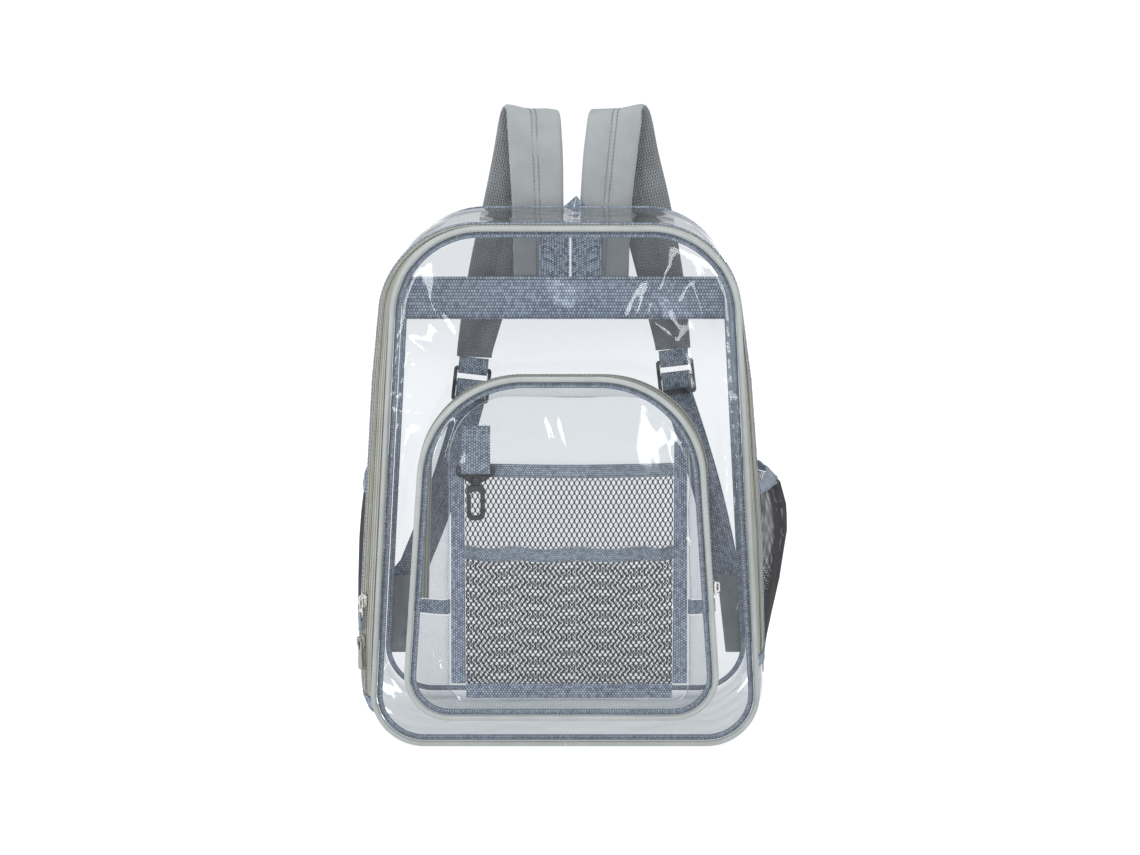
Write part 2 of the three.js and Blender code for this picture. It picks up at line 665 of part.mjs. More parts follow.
function polygon(points) {
  return new THREE.Shape(points.map(([x, z]) => new THREE.Vector2(x, z)));
}
function plate(shape, thickness, y = 0) {
  return new THREE.ExtrudeGeometry(shape, { depth: thickness, bevelEnabled: false, curveSegments: 6 })
    .rotateX(Math.PI / 2)
    .translate(0, y + thickness / 2, 0);
}
function post(radius, z1, z2, sides = 14) {
  return new THREE.CylinderGeometry(radius, radius, z2 - z1, sides)
    .rotateX(Math.PI / 2)
    .translate(0, 0, (z1 + z2) / 2);
}
function roundedRectangle(x1, x2, z1, z2, radius) {
  const shape = new THREE.Shape();
  shape.moveTo(x1 + radius, z1).lineTo(x2 - radius, z1);
  shape.absarc(x2 - radius, z1 + radius, radius, -Math.PI / 2, 0);
  shape.lineTo(x2, z2 - radius).absarc(x2 - radius, z2 - radius, radius, 0, Math.PI / 2);
  shape.lineTo(x1 + radius, z2).absarc(x1 + radius, z2 - radius, radius, Math.PI / 2, Math.PI);
  shape.lineTo(x1, z1 + radius).absarc(x1 + radius, z1 + radius, radius, Math.PI, 1.5 * Math.PI);
  return shape;
}

const hook = new THREE.Group();
hook.position.set(hookAxisX, hookAxisY, hookBarHeight);
group.add(hook);
const slotHalf = hookTabWidth / 2 + 2 * gap;
const slotBottom = -hookWrap - webbingWall / 2 - 2 * gap;
const bossBottom = -hookBaseDrop - 1;
const stemHeadTop = bossBottom + hookHeadRise;
const stemHeadBottom = stemHeadTop - hookHeadWall;
const shoulder = hookBaseWidth / 2;
add('hook_base', 'plastic', cut(
  join(
    plate(polygon([
      [-shoulder, 0], [-shoulder + hookBarRadius, hookBarRadius], [shoulder - hookBarRadius, hookBarRadius],
      [shoulder, 0], [shoulder, slotBottom], [hookBossRadius, -hookBaseDrop],
      [-hookBossRadius, -hookBaseDrop], [-shoulder, slotBottom],
    ]), hookDepth),
    post(hookBossRadius, bossBottom, slotBottom - sunk)),
  plate(polygon([
    [-slotHalf, -hookBarRadius], [-slotHalf, slotBottom], [slotHalf, slotBottom], [slotHalf, -hookBarRadius],
  ]), 2 * hookDepth),
  post(hookHeadRadius + gap, stemHeadBottom - gap, slotBottom + 1),
  post(hookStemRadius + gap, bossBottom - 1, stemHeadBottom + 1)), hook);

const bodyTop = bossBottom - gap;
const bodyBottom = bodyTop - hookBodyLength;
const bodyHalf = hookBodyWidth / 2;
const eyeTop = bodyTop - hookEyeDrop;
const eyeBottom = bodyBottom + hookRim;
const gateX = -bodyHalf + hookRim / 2; // middle of the gate
const gateRadius = hookRim / 2 - gap / 3;
const gatePivotZ = eyeBottom + hookGateFoot;
const gateTop = eyeTop - hookGateRoom;
const bodyPlate = roundedRectangle(-bodyHalf, bodyHalf, bodyBottom, bodyTop, hookCorner);
bodyPlate.holes.push(roundedRectangle(
  -bodyHalf + hookRim, bodyHalf - hookRim, eyeBottom, eyeTop, hookEyeCorner));
const gateRoom = block(
  -bodyHalf - 1, -bodyHalf + hookRim + 1, -hookDepth, hookDepth, gatePivotZ, gateTop + gap);
const gateSeat = new THREE.CylinderGeometry(gateRadius + gap, gateRadius + gap, 3 * hookDepth, 14)
  .translate(gateX, 0, gatePivotZ);
add('hook_body', 'plastic', cut(
  join(
    plate(bodyPlate, hookDepth),
    post(hookStemRadius, bodyTop - sunk, stemHeadBottom + sunk),
    post(hookHeadRadius, stemHeadBottom, stemHeadTop)),
  gateRoom,
  gateSeat), hook);
const gateShape = new THREE.Shape();
gateShape.moveTo(gateX + gateRadius, gatePivotZ).lineTo(gateX + gateRadius, gateTop - hookGateBevel);
gateShape.lineTo(gateX - gateRadius, gateTop).lineTo(gateX - gateRadius, gatePivotZ);
gateShape.absarc(gateX, gatePivotZ, gateRadius, Math.PI, 2 * Math.PI);
add('hook_gate', 'plastic', plate(gateShape, hookDepth - 1), hook);

// Net pockets on the sides

// How much of its swell a side net shows at a height.
const netTable = [
  // height share, right, left
  [0, 0, 0],
  [0.12, 0.2, 0.4],
  [0.25, 0.42, 0.7],
  [0.44, 0.76, 0.9],
  [0.66, 1, 1],
  [0.8, 1, 0.9],
  [0.92, 0.85, 0.7],
  [1, 0.42, 0.5],
];
const gatherDepth = 0.07; // of the swell
const netFullness = 0.8; // under 1, the net stands out more steeply at its two sewn edges
const gathers = 5;
const netStart = filmStart + gap;
const netEnd = filmEnd - gap;
for (const [side, right, swell] of [['right', true, rightNetSwell], ['left', false, leftNetSwell]]) {
  const onNet = (u, depth, out) => {
    const height = (onGusset(u, depth, 0).z - sideNetBottom) / (sideNetTop - sideNetBottom);
    const share = THREE.MathUtils.clamp((depth - netStart) / (netEnd - netStart), 0, 1);
    const gather = 1 - gatherDepth * height * Math.cos(2 * Math.PI * gathers * share);
    const amount = read(netTable, height, right ? 1 : 2) * Math.sin(Math.PI * share) ** netFullness * gather;
    return onGusset(u, depth, gap + swell * amount + out);
  };
  const uLow = atHeight(bagOutline, right, sideNetBottom);
  const uEdge = atHeight(bagOutline, right, sideNetTop - sideNetBindingWidth);
  const uTop = atHeight(bagOutline, right, sideNetTop);
  const depths = across(netStart, netEnd, right ? 20 : 12);
  const rows = right ? 8 : 5;
  const net = (from, to, steps, thickness) => {
    const grid = (out) => across(from, to, steps).map((u) => depths.map((depth) => onNet(u, depth, out)));
    return wall(grid(thickness), grid(0));
  };
  const uGap = (gap * (uTop - uEdge)) / sideNetBindingWidth;
  add(`side_net_${side}`, 'net', net(uLow, uEdge - uGap, rows, netWall));
  add(`side_net_binding_${side}`, 'webbing', net(uEdge, uTop, 1, bindingWall));
}

// Back of the bag: cross band, haul loop and shoulder straps

const backFace = backY + filmWall / 2;
const bandY = backFace + gap;
const bandInset = 1.5; // from the back seam
const sideAt = (z) => bagOutline(atHeight(bagOutline, true, z)).x - bandInset;
const bandTop = bandBottom + bandWidth;
add('cross_band', 'webbing', flatQuad(
  [[[-sideAt(bandBottom), bandBottom], [sideAt(bandBottom), bandBottom]],
    [[-sideAt(bandTop), bandTop], [sideAt(bandTop), bandTop]]], bandY, webbingWall));

const haulY = bandY + webbingWall + gap;
const haulLow = bandBottom + haulOverlap;
const haulShoulder = haulTop - haulWidth; // its tip is folded square, so it slopes at about 45 degrees
add('haul_loop', 'webbing', plate(polygon([
  [haulSlit, haulLow], [haulWidth, haulLow], [haulWidth, haulShoulder], [haulTipShift, haulTop],
  [-haulWidth, haulShoulder], [-haulWidth, haulLow], [-haulSlit, haulLow],
  [-haulSlit, haulShoulder], [haulSlit, haulShoulder],
]), webbingWall).translate(haulX, haulY + webbingWall / 2, 0));

const strapSewn = bandBottom + strapOverlap; // where the near leg starts, under the band
const strapTable = [
  // leg (0 near, 1 far), share of its height, left x, right x, stand-off, width, thickness, facing, roll
  [0, 0, 0.275, 0.388, 0.27, 0.96, 1, 0, 0],
  [0, 0.27, 0.28, 0.4, 0.27, 0.96, 1, 0, 0],
  [0, 0.5, 0.29, 0.42, 0.28, 0.96, 1, 0, 3],
  [0, 0.73, 0.306, 0.46, 0.32, 1, 1, 0, 6],
  [0, 0.895, 0.325, 0.5, 0.4, 1, 1, 10, 7],
  [0, 0.953, 0.338, 0.52, 0.5, 1, 0.95, 50, 8],
  [0, 0.972, 0.362, 0.55, 0.66, 1, 0.9, 90, 8],
  [0, 0.948, 0.4, 0.6, 0.82, 1, 0.95, 130, 8],
  [1, 0.909, 0.432, 0.64, 0.94, 1, 1, 165, 7],
  [1, 0.79, 0.487, 0.7, 1, 1, 1, 180, 4],
  [1, 0.607, 0.598, 0.825, 0.97, 0.96, 1, 180, 0],
  [1, 0.402, 0.74, 0.95, 0.88, 0.9, 1, 180, 0],
  [1, 0.196, 0.87, 1.06, 0.765, 0.8, 1, 180, 0],
  [1, 0.04, 0.96, 1.13, 0.66, 0.68, 0.75, 180, 0],
  [1, 0, 0.972, 1.142, 0.647, 0.66, 0.4, 180, 0],
];

for (const [side, column, mirror, strapEnd, bow] of [
  ['left', 2, -1, strapEndLeft, lowerWebbingBowLeft],
  ['right', 3, 1, strapEndRight, lowerWebbingBowRight],
]) {
  const rows = strapTable.map((row) => {
    const [leg, height, , , out, width, thickness, facing, roll] = row;
    const foot = leg ? strapEnd : strapSewn;
    const angle = THREE.MathUtils.degToRad(facing);
    return {
      p: new THREE.Vector3(
        mirror * row[column] * strapSpread, backY + out * strapStandOff, foot + height * (strapTop - foot)),
      face: new THREE.Vector3(0, -Math.cos(angle), Math.sin(angle)),
      width: width * strapWidth,
      thickness: thickness * strapWall,
      roll: mirror * roll,
    };
  });
  add(`shoulder_strap_${side}`, 'padding', ribbon(rows, strapEdge));

  // The strap's lower end, in its own axes: z up along the strap, y to the back.
  const end = rows[rows.length - 1].p;
  const up = rows[rows.length - 2].p.clone().sub(end).normalize();
  const acrossStrap = new THREE.Vector3().crossVectors(new THREE.Vector3(0, 1, 0), up).normalize();
  const back = new THREE.Vector3().crossVectors(up, acrossStrap);
  const frame = new THREE.Matrix4().makeBasis(acrossStrap, back, up).setPosition(end);
  const strapEndGroup = new THREE.Group();
  strapEndGroup.applyMatrix4(frame);
  group.add(strapEndGroup);

  const buckleTop = -buckleDrop;
  const buckleLow = buckleTop - buckleLength;
  const bars = [buckleTop, (buckleTop + buckleLow + buckleBar) / 2, buckleLow + buckleBar];
  const frameShape = roundedRectangle(-buckleWidth / 2, buckleWidth / 2, buckleLow, buckleTop, 3);
  for (const i of [0, 1]) {
    const slotHalf = buckleWidth / 2 - buckleBar + gap;
    const [low, high] = [bars[i + 1], bars[i] - buckleBar];
    frameShape.holes.push(polygon([[-slotHalf, low], [-slotHalf, high], [slotHalf, high], [slotHalf, low]]));
  }
  add(`ladder_lock_${side}`, 'plastic', plate(frameShape, buckleWall), strapEndGroup);

  const turn = Math.hypot(buckleBar, buckleWall) / 2 + gap + webbingWall / 2;
  const topBar = buckleTop - buckleBar / 2;
  add(`strap_webbing_${side}`, 'webbing', foldedWeb(0, strapWebbingWidth, webbingWall, [
    [0, -3 * gap],
    [-turn, topBar + turn],
    ...turnAbout(0, topBar, turn, 180, 360, 6),
    [turn, topBar + turn],
    [2 * layerOffset, -3 * webbingWall],
  ]), strapEndGroup);

  const middleBar = bars[1] - buckleBar / 2;
  const webbingEnd = 20; // it ends this many degrees round the middle bar
  const local = (y, z) => new THREE.Vector3(0, y, z).applyMatrix4(frame);
  const runBack = buckleWall / 2 + gap + webbingWall / 2;
  const lowFoot = new THREE.Vector3(
    mirror * tabMiddle, bandY + webbingWall + gap + webbingWall / 2, tabTopHeight - tabOverlap);
  const webRows = [
    ...turnAbout(0, middleBar, turn, webbingEnd, 180, 5).map(([y, z]) => [local(y, z), y, z - middleBar]),
  ].map(([p, y, z]) => ({ p, face: new THREE.Vector3(0, y, z).normalize().transformDirection(frame) }));
  const facesFront = new THREE.Vector3(0, -1, 0).transformDirection(frame);
  webRows.push({ p: local(-turn, middleBar - webbingWall), face: facesFront });
  webRows.push({ p: local(0, bars[2] + buckleBar), face: facesFront });
  webRows.push({ p: local(runBack, buckleLow + buckleBar), face: facesFront });
  const from = local(runBack, buckleLow - webbingWall);
  webRows.push({ p: from, face: facesFront });
  const front = new THREE.Vector3(0, -1, 0);
  for (const share of [0.2, 0.4, 0.6, 0.8]) {
    const p = from.clone().lerp(lowFoot, share);
    p.x += mirror * bow * Math.sin(Math.PI * share);
    webRows.push({ p, face: front });
  }
  const overTab = new THREE.Vector3(-mirror * tabOverlap * webbingLean, 0, tabOverlap);
  webRows.push({ p: lowFoot.clone().add(overTab), face: front });
  webRows.push({ p: lowFoot, face: front });
  add(`lower_webbing_${side}`, 'webbing', ribbon(webRows.map((row) => ({
    ...row, width: strapWebbingWidth, thickness: webbingWall,
  }))));

  const tabOuter = sideAt(tabLowHeight);
  const acrossTab = (inner, outer, z) => [[mirror * inner, z], [mirror * outer, z]];
  add(`anchor_tab_${side}`, 'padding', flatQuad([
    acrossTab(tabOuter - tabLowWidth, tabOuter, tabLowHeight),
    acrossTab(tabMiddle - tabWidth / 2, tabMiddle + tabWidth / 2, tabTopHeight),
  ], bandY, webbingWall));
}

// Zip sliders and their pulls

// Axes of a surface: x across the zip towards the back, y up the zip, z outwards.
function zipFrame(surface, u, depth, upward) {
  const small = 1e-3;
  const place = surface(u, depth, 0);
  const backward = surface(u, depth + small, 0).sub(place).normalize();
  const along = surface(u + upward * small, depth, 0).sub(place).normalize();
  const out = new THREE.Vector3().crossVectors(backward, along).normalize();
  if (out.dot(surface(u, depth, 1).sub(place)) < 0) out.negate();
  const side = new THREE.Vector3().crossVectors(along, out).normalize();
  return new THREE.Matrix4().makeBasis(side, along, out).setPosition(place);
}

const plateLow = coilRise + gap;
const plateTop = plateLow + sliderWall;
const pivotHeight = plateTop + gap + pullWall / 2;
const archInside = pivotHeight + Math.hypot(pullWall / 2, pullWall / 2) + gap;
const archTop = archInside + archPost;
function sliderSolid() {
  const arch = new THREE.ExtrudeGeometry(polygon([
    [-archHalf, plateTop - sunk], [-archHalf, archTop], [archHalf, archTop], [archHalf, plateTop - sunk],
    [archHalf - archPost, plateTop - sunk], [archHalf - archPost, archInside],
    [-archHalf + archPost, archInside], [-archHalf + archPost, plateTop - sunk],
  ]), { depth: archWidth, bevelEnabled: false });
  arch.rotateY(Math.PI / 2).rotateX(Math.PI / 2).translate(-archWidth / 2, 0, 0);
  const half = sliderWidth / 2;
  return join(
    block(-half, half, -sliderLength / 2, sliderLength / 2, plateLow, plateTop),
    block(-half, -half + sliderFlange, -sliderLength / 2, sliderLength / 2, gap, plateLow + sunk),
    block(half - sliderFlange, half, -sliderLength / 2, sliderLength / 2, gap, plateLow + sunk),
    arch);
}
const square = (x, z1, z2) => polygon([[-x, z1], [-x, z2], [x, z2], [x, z1]]);
function pullSolid(length, withEye) {
  const half = pullWidth / 2;
  const shape = roundedRectangle(-half, half, -length, pullWall / 2, pullCorner);
  const windowTop = -pullWall / 2;
  shape.holes.push(square(archWidth / 2 + 2 * gap, windowTop - pullWindowLength, windowTop));
  if (withEye) shape.holes.push(square(pullEyeHalf, -length + pullRim, -length + pullRim + pullEyeLength));
  return new THREE.ExtrudeGeometry(shape, { depth: pullWall, bevelEnabled: false, curveSegments: 2 })
    .translate(0, 0, -pullWall / 2);
}

for (const [name, height, length] of [
  ['upper', upperSliderHeight, upperPullLength],
  ['lower', upperSliderHeight - sliderSpacing, lowerPullLength],
]) {
  const zip = new THREE.Group();
  const u = atHeight(bagOutline, false, height);
  zip.applyMatrix4(zipFrame(onGusset, u, coilStart + coilWidth / 2, -1));
  group.add(zip);
  add(`main_slider_${name}`, 'nickel', sliderSolid(), zip);
  const pull = new THREE.Group();
  pull.position.set(0, 0, pivotHeight);
  zip.add(pull);
  add(`main_pull_${name}`, 'nickel', pullSolid(length, name === 'upper'), pull);
  if (name === 'upper') {
    const rimMiddle = -length + pullRim / 2;
    const wrap = Math.hypot(pullRim, pullWall) / 2 + gap + ribbonWall / 2;
    const meet = (ribbonWall + gap) / 2;
    add('pull_ribbon', 'webbing', foldedWeb(0, ribbonWidth, ribbonWall, [
      [-length - ribbonLength, -meet],
      [rimMiddle - 3 * wrap, -meet],
      ...turnAbout(rimMiddle, 0, wrap, -90, 90, 4),
      [rimMiddle - 3 * wrap, meet],
      [-length - ribbonLength, meet],
    ]), pull);
  }
}

const pocketSliderPlace = new THREE.Group();
const pocketSliderHeight = pocketZipEnd + sliderClear + sliderLength / 2;
pocketSliderPlace.applyMatrix4(
  zipFrame(onPocket, pocketRight(pocketSliderHeight), pocketCoilStart + coilWidth / 2, 1));
group.add(pocketSliderPlace);
add('pocket_slider', 'nickel', sliderSolid(), pocketSliderPlace);

export default group;
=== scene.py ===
# A clear vinyl backpack, standing on its base with its shoulder straps folded upright behind it.
# Metres, +Z up. The front faces -Y, and the origin is on the floor under the middle of the base.
import math
import random

import bpy
import numpy as np
from mathutils import Matrix, Vector


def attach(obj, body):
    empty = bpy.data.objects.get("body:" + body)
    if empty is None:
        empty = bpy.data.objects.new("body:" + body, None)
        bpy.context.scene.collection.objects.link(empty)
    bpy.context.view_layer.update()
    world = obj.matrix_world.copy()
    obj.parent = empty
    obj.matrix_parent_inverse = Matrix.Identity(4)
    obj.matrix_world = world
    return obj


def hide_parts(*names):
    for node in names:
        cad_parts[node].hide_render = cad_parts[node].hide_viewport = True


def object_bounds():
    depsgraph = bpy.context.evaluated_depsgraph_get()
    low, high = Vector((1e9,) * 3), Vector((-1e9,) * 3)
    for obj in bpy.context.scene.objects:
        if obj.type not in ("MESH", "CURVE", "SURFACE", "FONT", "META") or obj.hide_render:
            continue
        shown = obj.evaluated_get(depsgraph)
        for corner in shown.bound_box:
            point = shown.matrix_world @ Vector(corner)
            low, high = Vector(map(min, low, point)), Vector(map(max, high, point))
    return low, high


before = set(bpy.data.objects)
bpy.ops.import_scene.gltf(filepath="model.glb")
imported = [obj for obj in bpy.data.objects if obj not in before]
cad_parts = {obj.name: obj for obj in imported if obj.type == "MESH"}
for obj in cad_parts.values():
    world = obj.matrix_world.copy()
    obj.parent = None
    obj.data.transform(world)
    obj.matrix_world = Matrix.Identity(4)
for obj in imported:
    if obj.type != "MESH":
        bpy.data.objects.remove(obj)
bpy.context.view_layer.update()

mm = 0.001
scene = bpy.context.scene

# Camera and light: an even sky, one large soft box overhead and tall narrow ones beside the camera and behind
# the bag. The narrow ones draw the bright streaks on the vinyl. The floor comes last.
camera_aim = Vector((3.7, 0, 249.2)) * mm
camera_distance = 2205.5 * mm
camera_elevation = math.radians(11.72)
sensor_width = 36  # of the camera, in millimetres
camera_data = bpy.data.cameras.new("camera")
camera_data.sensor_width = sensor_width
camera_data.lens = 84.91
camera = bpy.data.objects.new("camera", camera_data)
scene.collection.objects.link(camera)
toward_camera = Vector((0, -math.cos(camera_elevation), math.sin(camera_elevation)))
camera.location = camera_aim + toward_camera * camera_distance
camera.rotation_euler = toward_camera.to_track_quat("Z", "Y").to_euler()
scene.camera = camera
scene.view_settings.view_transform = "Standard"

world = bpy.data.worlds.new("sky")
world.use_nodes = True
sky = world.node_tree.nodes["Background"]
sky.inputs["Color"].default_value = (0.96, 0.98, 1, 1)
sight = world.node_tree.nodes.new("ShaderNodeLightPath")
dimmer = world.node_tree.nodes.new("ShaderNodeMapRange")  # white to look at, but a softer fill light
dimmer.inputs["To Min"].default_value = 0.72
dimmer.inputs["To Max"].default_value = 1.0
world.node_tree.links.new(sight.outputs["Is Camera Ray"], dimmer.inputs["Value"])
world.node_tree.links.new(dimmer.outputs["Result"], sky.inputs["Strength"])
scene.world = world
scene.cycles.transparent_max_bounces = 24


def soft_box(name, place, aim, width, height, watts):
    light = bpy.data.lights.new(name, "AREA")
    light.shape = "RECTANGLE"
    light.size = width
    light.size_y = height
    light.energy = watts
    holder = bpy.data.objects.new(name, light)
    scene.collection.objects.link(holder)
    holder.location = place
    holder.rotation_euler = (Vector(place) - Vector(aim)).to_track_quat("Z", "Y").to_euler()
    holder.visible_camera = False


middle_of_bag = (0, 0, 0.22)
soft_box("overhead", (-0.3, -0.5, 1.9), middle_of_bag, 1.6, 1.2, 15)
for name, x, y, watts in [
    ("front_left", -0.62, -1.7, 8), ("front_right", 0.5, -1.75, 7), ("far_left", -1.5, -0.9, 7),
    ("far_right", 1.5, -0.8, 5), ("rear_left", -0.7, 1.7, 6), ("rear_right", 0.6, 1.8, 6),
]:
    soft_box(name, (x, y, 0.55), middle_of_bag, 0.16, 1.3, watts)

# Clear vinyl panels: flat sheets of soft PVC for the front, the back and the front of the pocket, cut to a
# rounded outline and held by the seam round them. They bulge and crease a little between their seams.


class Wire:
    """An output of a material's node. Python's operators on it add Math nodes."""

    def __init__(self, finish, socket):
        self.finish = finish
        self.socket = socket

    def to(self, operation, *others):
        return self.finish.math(operation, self, *others)

    def held(self, low=0.0, high=1.0):
        return self.to("MAXIMUM", low).to("MINIMUM", high)

    def waves(self, pitch):
        return (self * (2 * math.pi / pitch)).to("SINE")

    def __getitem__(self, axis):
        return self.finish.node("ShaderNodeSeparateXYZ", {}, {0: self}, output=axis)


for word, operation in [
    ("add", "ADD"), ("sub", "SUBTRACT"), ("mul", "MULTIPLY"), ("truediv", "DIVIDE"), ("pow", "POWER"),
]:
    setattr(Wire, f"__{word}__", lambda a, b, operation=operation: a.finish.math(operation, a, b))
    setattr(Wire, f"__r{word}__", lambda a, b, operation=operation: a.finish.math(operation, b, a))


class Finish:
    """A material in the making. Its node method adds any node, with settings first and then its inputs."""

    def __init__(self, name):
        self.material = bpy.data.materials.new(name)
        self.material.use_nodes = True
        self.tree = self.material.node_tree
        self.tree.nodes.clear()

    def node(self, kind, settings, inputs, output=0):
        made = self.tree.nodes.new(kind)
        for key, value in settings.items():
            setattr(made, key, value)
        for key, value in inputs.items():
            if isinstance(value, Wire):
                self.tree.links.new(value.socket, made.inputs[key])
            else:
                made.inputs[key].default_value = value
        return Wire(self, made.outputs[output]) if made.outputs else None

    def math(self, operation, *values):
        return self.node("ShaderNodeMath", {"operation": operation}, dict(enumerate(values)))

    def attribute(self, name):
        return self.node("ShaderNodeAttribute", {"attribute_name": name}, {}, output=1)

    def place(self):
        return self.node("ShaderNodeTexCoord", {}, {}, output=3)

    def noise(self, scale, detail=3.0, where=None):
        vector = self.place() if where is None else where
        return self.node("ShaderNodeTexNoise", {}, {"Vector": vector, "Scale": scale, "Detail": detail})

    def stretched(self, vector, scale):
        return self.node("ShaderNodeVectorMath", {"operation": "MULTIPLY"}, {0: vector, 1: scale})

    def mixed(self, share, first, second):
        colours = {0: share, 6: (*first, 1) if isinstance(first, tuple) else first}
        colours[7] = (*second, 1) if isinstance(second, tuple) else second
        return self.node("ShaderNodeMix", {"data_type": "RGBA"}, colours, output=2)

    def bump(self, height, distance, strength=1.0):
        inputs = {"Height": height, "Distance": distance, "Strength": strength}
        return self.node("ShaderNodeBump", {}, inputs)

    def surface(self, shader):
        self.node("ShaderNodeOutputMaterial", {}, {"Surface": shader})
        return self

    def solid(self, **inputs):
        named = {key.replace("_", " "): value for key, value in inputs.items()}
        return self.surface(self.node("ShaderNodeBsdfPrincipled", {}, named))


def make_vinyl():
    """Soft clear sheet: grey-blue where it is looked through, glossy, with fine ripples."""
    vinyl = Finish("clear_vinyl")
    spot = vinyl.place()
    ripples = vinyl.noise(22.0, 2.0, vinyl.stretched(spot, (1.6, 1.0, 0.55)))
    bump = vinyl.bump(ripples, 1.6 * mm, 0.5)
    gloss = vinyl.node("ShaderNodeBsdfPrincipled", {}, {
        "Base Color": (0.95, 0.97, 1, 1), "Metallic": 1.0, "Roughness": 0.06, "Normal": bump})
    clear = vinyl.node("ShaderNodeBsdfTransparent", {}, {"Color": (0.84, 0.85, 0.856, 1)})
    grazing = vinyl.node("ShaderNodeLayerWeight", {}, {"Blend": 0.5, "Normal": bump}, output=1)
    share = (grazing ** 5 * 1.1 + 0.034).held(0, 0.85)  # the same from both sides of the sheet
    deep = vinyl.node("ShaderNodeBsdfTransparent", {}, {"Color": (0.3, 0.34, 0.38, 1)})
    oblique = (grazing ** 3 * 0.9).held()  # light that passes at a slant goes through more vinyl
    body = vinyl.node("ShaderNodeMixShader", {}, {0: oblique, 1: clear, 2: deep})
    return vinyl.surface(vinyl.node("ShaderNodeMixShader", {}, {0: share, 1: body, 2: gloss}))


vinyl = make_vinyl()


def loft(name, rows, ring=True, looped=False, caps=(True, True), sharp=35):
    """A mesh through rows of points. With ring each row closes on itself, and with looped the last row
    joins the first. caps close the first and last row of a ring that isn't looped. The distances along and
    across go into the attribute cloth, in metres."""
    points = np.array([[tuple(p) for p in row] for row in rows], float)
    n, m = points.shape[:2]
    middles = points.mean(axis=1)
    widest = points[np.argmax(np.linalg.norm(np.diff(points, axis=1), axis=2).sum(axis=1))]

    def distances(line, closed):
        steps = np.linalg.norm(np.diff(line, axis=0, append=line[:1]), axis=1)
        return np.concatenate([[0], np.cumsum(steps if closed else steps[:-1])])

    along = distances(middles, looped)
    across = distances(widest, ring)
    i, j = np.meshgrid(np.arange(n if looped else n - 1), np.arange(m if ring else m - 1), indexing="ij")
    i, j = i.ravel(), j.ravel()
    corners = [(i, j), (i, j + 1), (i + 1, j + 1), (i + 1, j)]
    faces = np.stack([(a % n) * m + b % m for a, b in corners], axis=1)
    cloth = np.stack([np.stack([along[a], across[b], a * 0.0], axis=1) for a, b in corners], axis=1)
    flat = points.reshape(-1, 3)
    faces = faces.tolist()
    cloth = cloth.reshape(-1, 3)
    if ring and not looped:
        ends = [list(range(m))[::-1], [(n - 1) * m + k for k in range(m)]]
        for end, place, capped in zip(ends, (along[0], along[-1]), caps):
            if capped:
                faces.append(end)
                cloth = np.concatenate([cloth, [[place, across[k % m], 0] for k in end]])
    if ring and all(caps):
        a, b, c = (flat[[face[k] for face in faces]] for k in (0, 1, 2))
        d = flat[[face[3] if len(face) == 4 else face[0] for face in faces]]
        volume = np.einsum("ij,ij->i", a, np.cross(b, c) + np.cross(c, d)).sum()
        if volume < 0:
            faces = [face[::-1] for face in faces]
            sizes = [len(face) for face in faces]
            starts = np.concatenate([[0], np.cumsum(sizes)])
            cloth = np.concatenate([cloth[s:e][::-1] for s, e in zip(starts[:-1], starts[1:])])
    mesh = bpy.data.meshes.new(name)
    mesh.from_pydata(flat.tolist(), [], faces)
    mesh.attributes.new("cloth", "FLOAT_VECTOR", "CORNER").data.foreach_set("vector", cloth.ravel())
    mesh.shade_smooth()
    mesh.set_sharp_from_angle(angle=math.radians(sharp))
    return mesh


def add(name, mesh, finish, slot, *replaced, body="root"):
    """Puts a mesh in the scene as a piece that rides on a body and stands for the nodes it replaces."""
    piece = bpy.data.objects.new(name, mesh)
    scene.collection.objects.link(piece)
    if not mesh.materials:
        mesh.materials.append(finish.material)
    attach(piece, body)
    if replaced:
        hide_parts(*replaced)
    return piece


def make_outline(half_low, half_high, bottom, top, low_radius, high_radius, shift=0.0):
    """A closed outline of four straight sides and four round corners, as a function of u from 0 to 10. From
    the middle of the bottom towards +X, each half side, corner and upright side adds one to u."""
    corners = [
        (shift + half_low, bottom, low_radius), (shift + half_high, top, high_radius),
        (shift - half_high, top, high_radius), (shift - half_low, bottom, low_radius),
    ]
    arcs = []
    for i, (x, z, radius) in enumerate(corners):
        here = Vector((x, z))
        before = (Vector(corners[i - 1][:2]) - here).normalized()
        after = (Vector(corners[(i + 1) % 4][:2]) - here).normalized()
        half = math.acos(before.dot(after)) / 2
        centre = here + (before + after).normalized() * radius / math.sin(half)
        start = here + before * radius / math.tan(half)
        end = here + after * radius / math.tan(half)
        first = math.atan2(start.y - centre.y, start.x - centre.x)
        turn = (math.atan2(end.y - centre.y, end.x - centre.x) - first) % (2 * math.pi)
        arcs.append((centre, radius, start, end, first, turn))
    low = Vector((shift, bottom))
    high = Vector((shift, top))
    a, b, c, d = arcs
    runs = [
        (low, a[2]), a, (a[3], b[2]), b, (b[3], high), (high, c[2]), c, (c[3], d[2]), d, (d[3], low),
    ]

    def at(u):
        run = runs[int(u // 1) % 10]
        share = u - u // 1
        if len(run) == 2:
            p = run[0].lerp(run[1], share)
            on = (run[1] - run[0]).normalized()
            return p.x, p.y, on.y, -on.x
        centre, radius, _, _, first, turn = run
        nx = math.cos(first + turn * share)
        nz = math.sin(first + turn * share)
        return centre.x + radius * nx, centre.y + radius * nz, nx, nz

    return at


